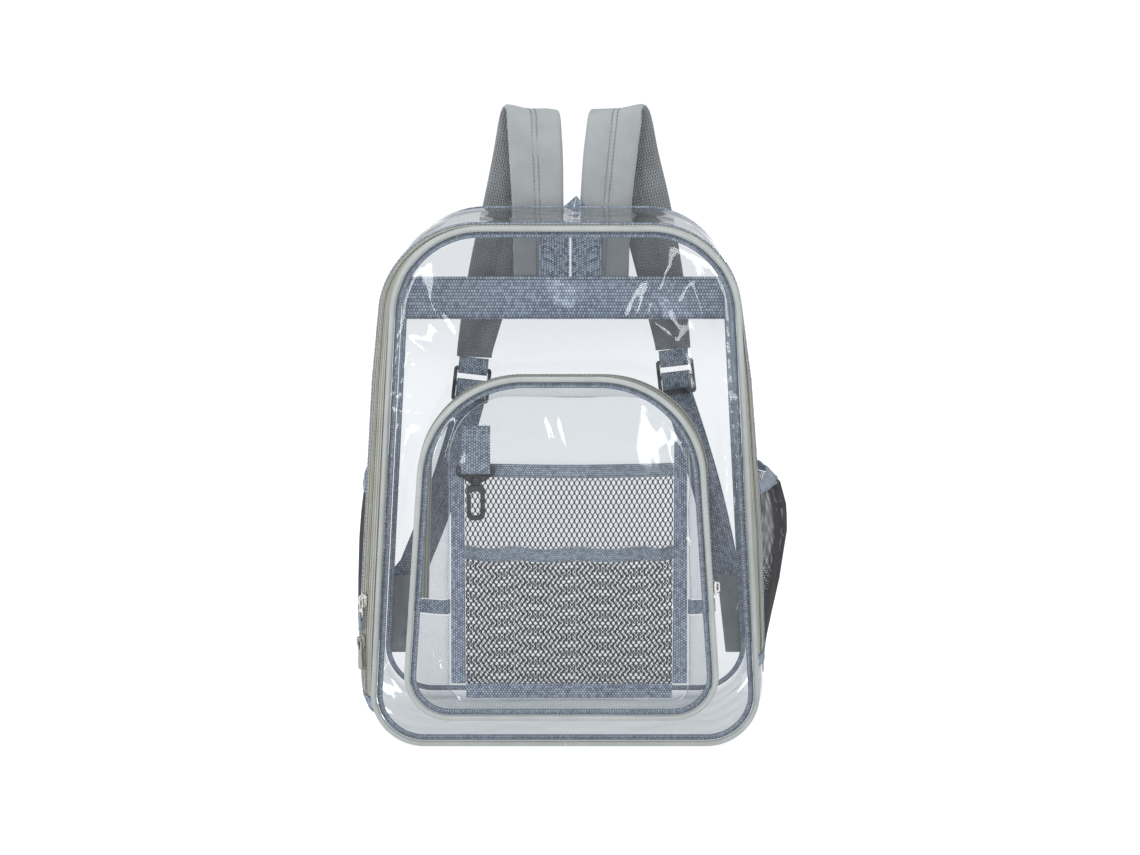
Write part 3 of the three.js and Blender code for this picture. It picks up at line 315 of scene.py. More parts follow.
def stops(outline, start, end, spacing):
    """Values of u from one to another, about evenly spaced along the outline."""
    found = []
    for run in range(int(start // 1), math.ceil(end)):
        first, last = max(start, run), min(end, run + 1)
        if last - first < 1e-6:
            continue
        line = [Vector(outline(first + (last - first) * k / 8 - (1e-7 if k == 8 else 0))[:2])
                for k in range(9)]
        length = sum((q - p).length for p, q in zip(line, line[1:]))
        steps = max(1, round(length / spacing))
        found += [first + (last - first) * k / steps for k in range(steps)]
    return found + [end]


def at_height(outline, right, height):
    """The u at which one side of an outline passes a height."""
    low, high = (1, 4) if right else (9, 6)
    for _ in range(40):
        middle = (low + high) / 2
        if outline(middle)[1] < height:
            low = middle
        else:
            high = middle
    return (low + high) / 2


def smooth(value, low=0.0, high=1.0):
    share = np.clip((value - low) / (high - low), 0, 1)
    return share * share * (3 - 2 * share)


def outside(x, z, outline):
    """How far points lie outside an outline, less than nothing inside it."""
    line = np.array([outline(u) for u in np.arange(0, 10, 0.04)])
    dx = x[..., None] - line[:, 0]
    dz = z[..., None] - line[:, 1]
    nearest = np.argmin(dx ** 2 + dz ** 2, axis=-1)
    pick = np.take_along_axis
    dx = pick(dx, nearest[..., None], -1)[..., 0]
    dz = pick(dz, nearest[..., None], -1)[..., 0]
    return np.hypot(dx, dz) * np.sign(dx * line[nearest, 2] + dz * line[nearest, 3])


def rippled(x, z, seed, longest=110 * mm, shortest=30 * mm, slope=0.03):
    """Shallow ripples of many lengths and directions, mostly upright, as a height."""
    draw = random.Random(seed)
    height = 0 * x
    for _ in range(12):
        length = draw.uniform(shortest, longest)
        angle = draw.gauss(0, 0.5)
        phase = draw.uniform(0, 2 * math.pi)
        place = (x * math.cos(angle) + z * math.sin(angle)) * 2 * math.pi / length
        height = height + slope * length / (2 * math.pi) * np.sin(place + phase) / 3
    return height


crease_rise = 1.7  # of the heights in the tables
crease_spread = 1.5  # of their widths


def creased(x, z, creases, size):
    """Creases as a height: each runs from one point to another, with a width and a height."""
    height = 0 * x
    for x1, z1, x2, z2, width, rise in creases:
        start = np.array([x1, z1]) * size
        run = np.array([x2, z2]) * size - start
        share = np.clip(((x - start[0]) * run[0] + (z - start[1]) * run[1]) / (run @ run), 0, 1)
        away = np.hypot(x - start[0] - share * run[0], z - start[1] - share * run[1])
        section = np.exp(-((away / (crease_spread * width * mm)) ** 2))
        height = height + crease_rise * rise * mm * section * np.sqrt(np.sin(share * 2.6 + 0.27))
    return height


piping_radius = 2.3 * mm
gap = 0.3 * mm
seam_start = piping_radius + gap
bag_height = 425 * mm
bag_depth = 146 * mm
front_y = -bag_depth / 2
back_y = bag_depth / 2
bag_outline = make_outline(
    160 * mm - piping_radius, 134.5 * mm - piping_radius, piping_radius, bag_height - piping_radius,
    41 * mm, 70 * mm)

pocket_depth = 45 * mm
pocket_y = front_y - pocket_depth
pocket_front = make_outline(
    127 * mm - piping_radius, 107 * mm - piping_radius, 36 * mm + piping_radius, 314 * mm - piping_radius,
    34 * mm, 82 * mm, -3 * mm)
seam_shift = 3 * mm  # of the pocket's seam on the front panel
pocket_seam = make_outline(97 * mm, 95 * mm, 40 * mm, 290 * mm, 14 * mm, 50 * mm, seam_shift)


def panel(name, outline, inset, y, height_at, *replaced):
    """A sheet that fills an outline, in rings that close in on its middle. height_at gives how far its points
    stand out to the front."""
    rings = 60
    ring = [outline(u) for u in stops(outline, 0, 10, 2.8 * mm)[:-1]]
    edge = np.array([(x - nx * inset, z - nz * inset) for x, z, nx, nz in ring])
    middle = (edge.max(axis=0) + edge.min(axis=0)) / 2
    shares = 1 - (np.arange(rings) / rings) ** 1.15
    flat = middle + (edge - middle) * shares[:, None, None]
    x, z = flat[..., 0], flat[..., 1]
    room = np.minimum(-outside(x, z, outline) - inset, 1.0)
    out = height_at(x, z) * smooth(room, 0, 12 * mm)
    rows = np.stack([x, y - out, z], axis=-1)
    piece = add(name, loft(name, rows, caps=(False, True)), vinyl, "film", *replaced)
    return piece


def front_height(x, z):
    free = smooth(outside(x, z, pocket_seam), 2 * mm, 25 * mm)
    edge = -outside(x, z, bag_outline)
    pillow = 5 * mm * smooth(edge, 0, 45 * mm)
    creases = [
        # x, z, x, z as shares of the height, width and height in millimetres
        (-0.335, 0.62, -0.3, 0.76, 4, 1.1), (-0.30, 0.60, -0.34, 0.36, 5, 1.2),
        (-0.32, 0.30, -0.29, 0.52, 4, -1), (0.31, 0.66, 0.34, 0.34, 5, 1.3),
        (0.28, 0.7, 0.315, 0.5, 4, -1.1), (0.33, 0.32, 0.35, 0.16, 5, 1), (0.19, 0.92, 0.14, 0.84, 8, 2.2),
        (0.14, 0.84, 0.2, 0.79, 6, 1.6), (-0.3, 0.79, -0.24, 0.76, 3, 1.0),
        (-0.3, 0.05, 0.02, 0.06, 5, 1.2), (0.05, 0.055, 0.3, 0.05, 5, 1.0),
        (-0.34, 0.1, -0.27, 0.045, 4, 1.2), (0.35, 0.1, 0.29, 0.05, 4, -1.2),
        (-0.2, 0.73, 0.05, 0.75, 10, 0.9), (-0.25, 0.86, -0.21, 0.8, 3, 1.0),
        (0.24, 0.88, 0.27, 0.8, 4, 1.3), (-0.33, 0.2, -0.27, 0.3, 3, 1.1), (0.29, 0.2, 0.33, 0.28, 3, 1.0),
        (-0.12, 0.045, -0.04, 0.07, 3, 0.9), (0.12, 0.07, 0.2, 0.045, 3, 0.9),
    ]
    return free * (pillow + rippled(x, z, 3) + creased(x, z, creases, bag_height))


def back_height(x, z):
    return 0.5 * rippled(x, z, 5) - 0.6 * mm


def pocket_height(x, z):
    edge = -outside(x, z, pocket_front)
    pillow = 5 * mm * smooth(edge, 0, 55 * mm)
    creases = [
        (-0.25, 0.15, -0.26, 0.45, 4, 1.2), (-0.22, 0.12, -0.12, 0.1, 5, 1.5),
        (0.22, 0.12, 0.235, 0.42, 4, 1.1), (-0.24, 0.52, -0.2, 0.66, 4, 1.2),
        (0.1, 0.1, 0.22, 0.13, 5, 1.3), (0.19, 0.6, 0.23, 0.48, 4, 0.9), (-0.03, 0.68, 0.0, 0.58, 4, 0.9),
        (0.1, 0.42, 0.12, 0.3, 3, 0.8), (-0.255, 0.22, -0.22, 0.16, 3, 1.1),
        (0.2, 0.3, 0.225, 0.2, 3, 0.9),
    ]
    return pillow + rippled(x, z, 8) + creased(x, z, creases, bag_height)


panel("front_panel_sheet", bag_outline, seam_start, front_y, front_height, "front_panel")
panel("back_panel_sheet", bag_outline, 0, back_y, back_height, "back_panel")
panel("pocket_front_sheet", pocket_front, seam_start, pocket_y, pocket_height, "pocket_front_panel")

# Clear vinyl sides: one strip over the sides and top behind the main zip, and one across the base between the
# zip's ends. Both are the same soft sheet, sewn between the zip and the back panel, and belly out.
side_swell = 15 * mm
swell_rise = 0.2  # share of the depth over which the side bellies out behind the front seam
swell_fall = 0.5  # and over which it comes back to the back seam
drop_run = 8 * mm  # the base meets the floor this far behind the front seam
swell_table = np.array([
    # height share, left, right
    (0, 0.1, 0.1), (0.1, 0.72, 0.45), (0.2, 1, 0.6), (0.4, 1, 0.75), (0.7, 0.95, 0.55), (0.85, 0.75, 0.2),
    (1, 0.3, 0.1),
])


def on_gusset(u, depth, out):
    """A point of the bag's side at a depth behind the front seam, and an offset outwards."""
    x, z, nx, nz = bag_outline(u)
    share = depth / bag_depth
    rise = math.sin(math.pi / 2 * min(max(share / swell_rise, 0), 1))
    fall = math.sin(math.pi / 2 * min(max((1 - share) / swell_fall, 0), 1))
    swell = np.interp(z / bag_height, swell_table[:, 0], swell_table[:, 1 if x < 0 else 2]) * abs(nx)
    drop = max(-nz, 0) * piping_radius * min(1, depth / drop_run, (bag_depth - depth) / drop_run)
    away = side_swell * swell * rise * fall + drop + out
    return Vector((x + nx * away, front_y + depth, z + nz * away))


tape_width = 10.5 * mm  # one side of the main zip
tape_wall = 1.1 * mm
coil_width = 4 * mm
edge_band_width = 4 * mm
binding_wall = 1.8 * mm
film_wall = 1 * mm
cover_length = 12 * mm
coil_start = seam_start + tape_width + gap
rear_tape_start = coil_start + coil_width + gap
edge_band_start = rear_tape_start + tape_width + gap
film_start = edge_band_start + edge_band_width + gap
film_end = bag_depth - film_wall / 2 - 2 * gap - binding_wall
zip_left = at_height(bag_outline, False, 40 * mm)
zip_right = at_height(bag_outline, True, 76 * mm)
cover_left = at_height(bag_outline, False, 40 * mm - cover_length)
cover_right = at_height(bag_outline, True, 76 * mm - cover_length)


def across(start, end, steps):
    return [start + (end - start) * k / steps for k in range(steps + 1)]


def side_sheet(name, surface, outline, start, end, depths, seed, node, swing=0.7 * mm):
    """A strip of vinyl between two depths of a surface, with shallow waves that end at its seams."""
    us = stops(outline, start, end, 3 * mm)
    length = 0.0
    before = surface(us[0], depths[0], 0)
    rows = []
    for u in us:
        here = surface(u, depths[0], 0)
        length += (here - before).length
        before = here
        free = [math.sin(math.pi * k / (len(depths) - 1)) for k in range(len(depths))]
        waves = rippled(np.array(depths), length, seed, 70 * mm, 18 * mm, 0.09)
        rows.append([
            surface(u, depth, -film_wall / 2 + float(np.clip(wave, -swing, swing)) * share ** 0.5)
            for depth, share, wave in zip(depths, free, waves)])
    piece = add(name, loft(name, rows, ring=False), vinyl, "film", node)
    depths[-1] - depths[0]
    return piece


side_sheet(
    "gusset_sheet", on_gusset, bag_outline, cover_right + 0.01, cover_left - 0.01,
    across(film_start, film_end, 36), 11, "gusset_film")
side_sheet(
    "base_sheet", on_gusset, bag_outline, cover_left, cover_right + 10,
    [seam_start, 5 * mm, drop_run, *across(12 * mm, bag_depth - 12 * mm, 30), bag_depth - drop_run, film_end],
    12, "base_film", swing=0.25 * mm)

# Edging: a light grey vinyl piping round the front seam, with its butt joint under the middle, and blue-grey
# woven binding folded over the raw edges of the two seams. Dark thread runs along them.


def make_piping():
    """Pale grey vinyl with a soft shine, a faint grain and a little grime in random patches."""
    piping = Finish("piping_vinyl")
    patches = piping.noise(60.0, 4.0)
    colour = piping.mixed(patches, (0.24, 0.258, 0.25), (0.35, 0.37, 0.36))
    grain = piping.noise(900.0, 2.0)
    return piping.solid(Base_Color=colour, Roughness=0.36, Normal=piping.bump(grain, 0.1 * mm, 0.4))


def make_woven(name, dark, light, along, over, fleck=0.5, rib=0.0, roughness=0.82, height=0.35 * mm):
    """Woven tape. Yarns of one pitch along and another across float over each other like bricks, rib
    raises lines that run along it, and flecks are single paler yarns. Each yarn is painted pale at its crest
    and dark where it dips under the next: painted highlight and painted shade."""
    woven = Finish(name)
    cloth = woven.attribute("cloth")
    s = cloth[0] / along
    t = cloth[1] / over
    row = t.to("FLOOR")
    shifted = s + row * 0.5
    brick = shifted.to("FRACT")
    across_row = t.to("FRACT")
    hill = 1 - ((brick - 0.5) * 2) ** 2
    bank = 1 - ((across_row - 0.5) * 2) ** 2
    yarn = hill * 0.6 + bank * 0.4
    cell = woven.node("ShaderNodeCombineXYZ", {}, {0: shifted.to("FLOOR"), 1: row})
    chance = woven.node("ShaderNodeTexWhiteNoise", {"noise_dimensions": "3D"}, {"Vector": cell})
    wide = woven.noise(45.0, 3.0)
    # Painted shade and highlight: yarn darkens each yarn where it dips and lightens its crest; the flecks and
    # wide are random tone.
    tone = (yarn - 0.4) * 1.7 + (chance - 0.5) * fleck * 1.5 + (wide - 0.5) * 0.2
    lines = cloth[1].waves(2.4 * mm)
    relief = yarn + chance * 0.35 + lines * rib
    colour = woven.mixed(tone.held(), dark, light)
    return woven.solid(Base_Color=colour, Roughness=roughness, Normal=woven.bump(relief, height, 0.8))


def make_thread(name, colour):
    thread = Finish(name)
    twist = thread.noise(2500.0, 1.0)
    shade = thread.mixed(twist, tuple(c * 0.75 for c in colour), colour)
    return thread.solid(Base_Color=shade, Roughness=0.7, Normal=thread.bump(twist, 0.1 * mm, 0.5))


piping_vinyl = make_piping()
webbing = make_woven(
    "blue_grey_webbing", (0.035, 0.047, 0.08), (0.36, 0.42, 0.51), 2.3 * mm, 1.9 * mm, fleck=0.42)
binding = make_woven(
    "blue_grey_binding", (0.05, 0.066, 0.098), (0.36, 0.42, 0.49), 2 * mm, 1.7 * mm, fleck=0.35)
dark_thread = make_thread("dark_thread", (0.06, 0.075, 0.1))
pale_thread = make_thread("pale_thread", (0.56, 0.58, 0.6))


def sweep(name, surface, outline, start, end, profile, spacing=2.5 * mm):
    """A strip of closed section along a surface. profile lists its depths and offsets in turn."""
    looped = abs(end - start - 10) < 1e-9
    us = stops(outline, start, end, spacing)
    if looped:
        us.pop()
    rows = [[surface(u, depth, out) for depth, out in profile] for u in us]
    return loft(name, rows, looped=looped)


def rounded(depth1, depth2, low, high, corner=0.3, steps=1):
    """A flat section with rounded corners, as a profile."""
    round_off = corner * (high - low)
    middle = [(depth1 + (depth2 - depth1) * k / (steps + 1)) for k in range(1, steps + 1)]
    return (
        [(depth1, low + round_off), (depth1, high - round_off), (depth1 + round_off, high)]
        + [(d, high) for d in middle] + [(depth2 - round_off, high), (depth2, high - round_off)]
        + [(depth2, low + round_off), (depth2 - round_off, low)]
        + [(d, low) for d in reversed(middle)] + [(depth1 + round_off, low)])


def seam(surface, outline, start, end, depth, out=0.0, spacing=4 * mm):
    """Points along a surface and the way it faces there, for thread or teeth."""
    line = []
    for u in stops(outline, start, end, spacing):
        p = surface(u, depth, out)
        line.append((p, (surface(u, depth, out + 1 * mm) - p).normalized()))
    return line


# One bead: a slim barrel with four sides, between its two narrow ends
bead_ends = [(-0.5, 0.45), (-0.32, 1.0), (0.32, 1.0), (0.5, 0.45)]
bead_points = np.array([
    (place, 0.5 * swell * math.cos(math.pi / 2 * k), 0.5 * swell * math.sin(math.pi / 2 * k))
    for place, swell in bead_ends for k in range(4)])
bead_faces = np.array(
    [(r * 4 + k, r * 4 + (k + 1) % 4, (r + 1) * 4 + (k + 1) % 4, (r + 1) * 4 + k)
     for r in range(3) for k in range(4)]
    + [(3, 2, 1, 0), (12, 13, 14, 15)])


def beads(name, lines, pitch, size):
    """Small barrels along lines of points: stitches, or the teeth of a zip. size is along, across and up."""
    points, faces = [], []
    for line in lines:
        travelled = 0.0
        wanted = pitch / 2
        for (p, up1), (q, up2) in zip(line, line[1:]):
            step = (q - p).length
            while wanted <= travelled + step and step > 0:
                share = (wanted - travelled) / step
                along = (q - p).normalized()
                up = up1.lerp(up2, share)
                side = along.cross(up).normalized()
                up = side.cross(along)
                basis = np.array([along * size[0], side * size[1], up * size[2]])
                faces.append(bead_faces + len(points) * 16)
                points.append(bead_points @ basis + np.array(p.lerp(q, share)))
                wanted += pitch
            travelled += step
    mesh = bpy.data.meshes.new(name)
    mesh.from_pydata(np.concatenate(points).tolist(), [], np.concatenate(faces).tolist())
    mesh.shade_smooth()
    return mesh


def stitched(name, lines, pitch, size, thread, slot="webbing"):
    """A piece made of beads. Its pitch and their size are in millimetres."""
    return add(name, beads(name, lines, pitch * mm, [side * mm for side in size]), thread, slot)


def strip(name, rows, finish, slot, *nodes, body="root"):
    """A piece lofted through rows of points."""
    return add(name, loft(name, rows), finish, slot, *nodes, body=body)


def on_ring(outline, y):
    """A surface that stands straight back from an outline."""
    def at(u, depth, out):
        x, z, nx, nz = outline(u)
        return Vector((x + nx * out, y + depth, z + nz * out))
    return at


def round_profile(radius, sides=14):
    turns = [2 * math.pi * k / sides for k in range(sides)]
    return [(radius * math.sin(turn), radius * math.cos(turn)) for turn in turns]


binding_width = 4.5 * mm
joint_room = 0.0006  # of the piping, in u, at its butt joint
behind_film = film_wall / 2 + gap
thread_depth = film_wall / 2 + 0.15 * mm
on_front = on_ring(bag_outline, front_y)
on_back = on_ring(bag_outline, back_y)


def front_edge(prefix, surface, outline, piping_node, binding_node):
    """Piping, binding and the thread between them, round one front."""
    piping = sweep(
        f"{prefix}_piping", surface, outline, joint_room, 10 - joint_room, round_profile(piping_radius), 2 * mm)
    add(f"{prefix}_piping_tube", piping, piping_vinyl, "piping", piping_node)
    folded = rounded(behind_film, behind_film + binding_wall, -seam_start - binding_width, -seam_start, 0.15)
    add(f"{prefix}_binding_tape", sweep(f"{prefix}_binding", surface, outline, 0, 10, folded), binding,
        "webbing", binding_node)
    thread_inset = seam_start + 1.1 * mm
    line = [(surface(u, -thread_depth, -thread_inset), Vector((0, -1, 0)))
            for u in stops(outline, 0, 10, 4 * mm)]
    stitched(f"{prefix}_seam_stitches", [line], 3.1, (2.5, 0.7, 0.5), dark_thread)


front_edge("front", on_front, bag_outline, "front_piping", "front_seam_binding")
back_folded = rounded(-behind_film - binding_wall, -behind_film, -binding_width, 0, 0.15)
add("back_binding_tape", sweep("back_binding", on_back, bag_outline, 0, 10, back_folded), binding, "webbing",
    "back_seam_binding")
back_line = [(on_back(u, thread_depth, -2.2 * mm), Vector((0, 1, 0)))
             for u in stops(bag_outline, 0, 10, 4 * mm)]
stitched("back_seam_stitches", [back_line], 3.1, (2.5, 0.7, 0.5), dark_thread)

# Main zip: two woven tapes with a nylon coil between them, over both sides and the top. Its rear edge has a
# narrow binding on the vinyl, and a webbing patch is sewn over each end.


def make_tape():
    """Olive grey zip tape, with fine cross ribs and lines woven along it, and worn patches. Its ribs and
    lines are painted darker in their grooves and paler on their crests: painted shade and painted highlight.
    """
    tape = Finish("zip_tape")
    cloth = tape.attribute("cloth")
    ribs = cloth[0].waves(1.1 * mm)
    lines = cloth[1].waves(3.6 * mm)
    worn = tape.noise(70.0, 3.0)
    # Painted shade and highlight: the lines and ribs make the tape darker in its grooves and paler on its
    # crests; worn is random tone.
    tone = lines * 0.34 + ribs * 0.14 + 0.28 + worn * 0.4
    colour = tape.mixed(tone.held(), (0.12, 0.12, 0.1), (0.38, 0.385, 0.34))
    relief = tape.bump(lines * 0.8 + ribs * 0.3, 0.4 * mm, 0.7)
    return tape.solid(Base_Color=colour, Roughness=0.68, Normal=relief)


def make_coil():
    """Pale nylon teeth, smooth and slightly clear at their edges."""
    coil = Finish("nylon_coil")
    patches = coil.noise(120.0, 2.0)
    colour = coil.mixed(patches, (0.24, 0.24, 0.2), (0.42, 0.415, 0.36))
    return coil.solid(Base_Color=colour, Roughness=0.34, Coat_Weight=0.2)


zip_tape = make_tape()
nylon_coil = make_coil()
coil_rise = 0.8 * mm


def ribbed(depth1, depth2, low, high, ribs=3):
    """The section of a zip tape, with shallow rounded ribs on its outer face."""
    section = rounded(depth1, depth2, low, high, 0.2, 0)[:3]
    steps = 4 * ribs
    for k in range(1, steps):
        share = k / steps
        section.append((depth1 + (depth2 - depth1) * share,
                        high - 0.4 * mm * (0.5 - 0.5 * math.cos(2 * math.pi * ribs * share))))
    return section + rounded(depth1, depth2, low, high, 0.2, 0)[3:]


def zip_run(prefix, surface, outline, start, end, width, depths, nodes):
    """Two tapes, the coil's bed and its teeth, and the thread that holds the tapes."""
    front, coil, rear = depths
    for side, depth, node in (("front", front, nodes[0]), ("rear", rear, nodes[2])):
        section = ribbed(depth, depth + width, -tape_wall, 0)
        name = f"{prefix}_tape_{side}"
        add(f"{name}_cloth", sweep(name, surface, outline, start, end, section), zip_tape, "tape", node)
    bed = rounded(coil, coil + coil_width, -tape_wall, -0.1 * mm, 0.2)
    add(f"{prefix}_coil_bed", sweep(f"{prefix}_coil_bed", surface, outline, start, end, bed), zip_tape, "tape",
        nodes[1])
    teeth = [seam(surface, outline, start, end, coil + coil_width * share, 0.15 * mm, 3 * mm)
             for share in (0.32, 0.68)]
    stitched(f"{prefix}_teeth", teeth, 1.35, (0.95, 2.1, 1.25), nylon_coil, "tape")
    threads = [
        seam(surface, outline, start, end, depth, 0.05 * mm)
        for depth in (front + 1.6 * mm, front + width - 0.9 * mm, rear + 0.9 * mm, rear + width - 1.6 * mm)]
    stitched(f"{prefix}_tape_stitches", threads, 3.3, (2.6, 0.55, 0.5), dark_thread, "tape")


zip_run("main_zip", on_gusset, bag_outline, zip_right, zip_left, tape_width,
        (seam_start, coil_start, rear_tape_start),
        ("main_zip_tape_front", "main_zip_coil", "main_zip_tape_rear"))
edge_band_end = edge_band_start + edge_band_width
edge_band = rounded(edge_band_start, edge_band_end, -binding_wall / 2, binding_wall / 2, 0.45)
add("zip_edge_binding_tape", sweep("zip_edge", on_gusset, bag_outline, zip_right, zip_left, edge_band), binding,
    "webbing", "zip_edge_binding")
band_middle = seam(on_gusset, bag_outline, zip_right, zip_left, edge_band_start + edge_band_width / 2,
                   binding_wall / 2)
stitched("zip_edge_stitches", [band_middle], 3.6, (2.6, 0.8, 0.6), dark_thread)

cover_wall = 2 * mm
end_gap = 0.006  # in u
for side, start, end in (("left", zip_left + end_gap, cover_left - end_gap),
                         ("right", cover_right + end_gap, zip_right - end_gap)):
    patch = rounded(seam_start, edge_band_end, -cover_wall / 2, cover_wall / 2, 0.3, 6)
    cover = sweep(f"zip_end_{side}", on_gusset, bag_outline, start, end, patch, 1.5 * mm)
    add(f"zip_end_patch_{side}", cover, webbing, "webbing", f"zip_end_cover_{side}")
    rows = []
    for share in (0.18, 0.82):
        u = start + (end - start) * share
        rows.append([(on_gusset(u, depth, cover_wall / 2), (on_gusset(u, depth, 1) - on_gusset(u, depth, 0)))
                     for depth in across(seam_start + 1 * mm, edge_band_start + 3 * mm, 12)])
    stitched(f"zip_end_stitches_{side}", rows, 2.8, (2.2, 0.6, 0.5), dark_thread)

# Sliders and pulls: die-cast zinc with a bright nickel plate. A slider is a waisted plate with two lips round
# the coil and an arch on top, and its pull hangs from the arch. The upper pull carries a short ribbon.


def make_metal(name, colour, roughness):
    metal = Finish(name)
    wear = metal.noise(350.0, 4.0)
    tint = metal.mixed(wear, tuple(c * 0.72 for c in colour), colour)
    return metal.solid(
        Base_Color=tint, Metallic=1.0, Roughness=wear * 0.22 + roughness, Normal=metal.bump(wear, 0.1 * mm, 0.3))


nickel = make_metal("bright_nickel", (0.74, 0.73, 0.7), 0.16)
dull_nickel = make_metal("worn_nickel", (0.42, 0.4, 0.37), 0.3)


def turned(points, centre, radius, first, last, steps=6):
    """Adds an arc to a list of points, from one angle in degrees to another."""
    for k in range(steps + 1):
        angle = math.radians(first + (last - first) * k / steps)
        points.append((centre[0] + radius * math.cos(angle), centre[1] + radius * math.sin(angle)))
    return points


def rounded_box(x1, x2, y1, y2, radius):
    corners = [(x2 - radius, y1 + radius, -90), (x2 - radius, y2 - radius, 0),
               (x1 + radius, y2 - radius, 90), (x1 + radius, y1 + radius, 180)]
    points = []
    for x, y, first in corners:
        turned(points, (x, y), radius, first, first + 90)
    return points


def cast(name, outlines, thickness, bevel, matrix):
    """A plate with rounded edges, filled between its outline and its holes, in the XY plane of a matrix."""
    curve = bpy.data.curves.new(name, "CURVE")
    curve.dimensions = "2D"
    curve.fill_mode = "BOTH"
    for points in outlines:
        spline = curve.splines.new("POLY")
        spline.points.add(len(points) - 1)
        for spot, (x, y) in zip(spline.points, points):
            spot.co = (x, y, 0, 1)
        spline.use_cyclic_u = True
    curve.extrude = thickness / 2 - bevel
    curve.bevel_depth = bevel
    curve.bevel_resolution = 2
    curve.offset = -bevel
    holder = bpy.data.objects.new(name, curve)
    scene.collection.objects.link(holder)
    depsgraph = bpy.context.evaluated_depsgraph_get()
    mesh = bpy.data.meshes.new_from_object(holder.evaluated_get(depsgraph))
    bpy.data.objects.remove(holder)
    mesh.transform(matrix)
    mesh.materials.clear()
    mesh.shade_smooth()
    mesh.set_sharp_from_angle(angle=math.radians(50))
    return mesh


def joined(name, *meshes):
    """One mesh from several, which are used up."""
    points, faces, cloth = [], [], []
    for mesh in meshes:
        offset = len(points)
        points += [tuple(v.co) for v in mesh.vertices]
        faces += [[offset + k for k in face.vertices] for face in mesh.polygons]
        layer = mesh.attributes.get("cloth")
        loops = len(mesh.loops)
        flat = np.zeros(loops * 3)
        if layer:
            layer.data.foreach_get("vector", flat)
        cloth.append(flat)
        bpy.data.meshes.remove(mesh)
    whole = bpy.data.meshes.new(name)
    whole.from_pydata(points, [], faces)
    whole.attributes.new("cloth", "FLOAT_VECTOR", "CORNER").data.foreach_set("vector", np.concatenate(cloth))
    whole.shade_smooth()
    whole.set_sharp_from_angle(angle=math.radians(40))
    return whole


def zip_frame(surface, u, depth, upward):
    """Axes of a zip at one place: x across it towards the back, y up along it and z outwards."""
    small = 1e-6
    place = surface(u, depth, 0)
    backward = (surface(u, depth + small, 0) - place).normalized()
    along = (surface(u + upward * 1e-4, depth, 0) - place).normalized()
    out = backward.cross(along).normalized()
    if out.dot(surface(u, depth, 1 * mm) - place) < 0:
        out.negate()
    side = along.cross(out).normalized()
    return Matrix.Translation(place) @ Matrix((side, along, out)).transposed().to_4x4()


slider_length = 11 * mm
slider_width = 8.4 * mm
slider_wall = 1.4 * mm
slider_waist = 0.9 * mm
lip = 1 * mm
pull_wall = 1.4 * mm
pull_width = 7 * mm
plate_low = coil_rise + gap
plate_top = plate_low + slider_wall
pivot_height = plate_top + gap + pull_wall / 2
arch_inside = pivot_height + math.hypot(pull_wall / 2, pull_wall / 2) + gap
arch_post = 1.2 * mm
arch_half = 4 * mm
arch_width = 2 * mm
arch_corner = 1.4 * mm
pull_corner = 1.4 * mm


def slider_mesh(name, matrix):
    half, long = slider_width / 2, slider_length / 2
    body = [(-half * 0.8, -long), (half * 0.8, -long), (half, -long * 0.7), (half - slider_waist, 0),
            (half, long * 0.6), (half * 0.75, long), (0.5 * mm, long * 0.86), (-0.5 * mm, long * 0.86),
            (-half * 0.75, long), (-half, long * 0.6), (-half + slider_waist, 0), (-half, -long * 0.7)]
    raised = Matrix.Translation((0, 0, plate_low + slider_wall / 2))
    parts = [cast(name, [body], slider_wall, 0.4 * mm, matrix @ raised)]
    for side in (-1, 1):
        inner, outer = sorted((side * (half - lip), side * half))
        flange = rounded_box(inner, outer, -long * 0.8, long * 0.8, 0.3 * mm)
        parts.append(cast(name, [flange], plate_low + 0.4 * mm - gap, 0.2 * mm,
                          matrix @ Matrix.Translation((0, 0, (plate_low + 0.4 * mm + gap) / 2))))
    bend = arch_inside + arch_post - arch_corner
    foot = plate_top - 0.4 * mm
    bow = [(-arch_half, foot), (-arch_half, bend)]
    turned(bow, (-arch_half + arch_corner, bend), arch_corner, 180, 90, 5)
    turned(bow, (arch_half - arch_corner, bend), arch_corner, 90, 0, 5)
    inner = arch_half - arch_post
    bow += [(arch_half, foot), (inner, foot), (inner, arch_inside), (-inner, arch_inside), (-inner, foot)]
    upright = Matrix(((0, 0, 1, 0), (1, 0, 0, 0), (0, 1, 0, 0), (0, 0, 0, 1)))
    parts.append(cast(name, [bow], arch_width, 0.35 * mm, matrix @ upright))
    return joined(name, *parts)


def pull_mesh(name, matrix, length, with_eye):
    half = pull_width / 2
    shape = [(half * 0.72, pull_wall / 2), (-half * 0.72, pull_wall / 2)]
    shape += [(-half, -2 * mm), (-half * 0.78, -length * 0.45), (-half, -length * 0.72)]
    turned(shape, (-half + pull_corner, -length + pull_corner), pull_corner, 180, 270, 5)
    turned(shape, (half - pull_corner, -length + pull_corner), pull_corner, 270, 360, 5)
    shape += [(half, -length * 0.72), (half * 0.78, -length * 0.45), (half, -2 * mm)]
    window = arch_width / 2 + 2 * gap
    holes = [rounded_box(-window, window, -pull_wall / 2 - 6 * mm, -pull_wall / 2, 0.5 * mm)]
    if with_eye:
        holes.append(rounded_box(-2.4 * mm, 2.4 * mm, -length + 1.4 * mm, -length + 4 * mm, 0.6 * mm))
    return cast(name, [shape[::-1], *holes], pull_wall, 0.35 * mm, matrix)


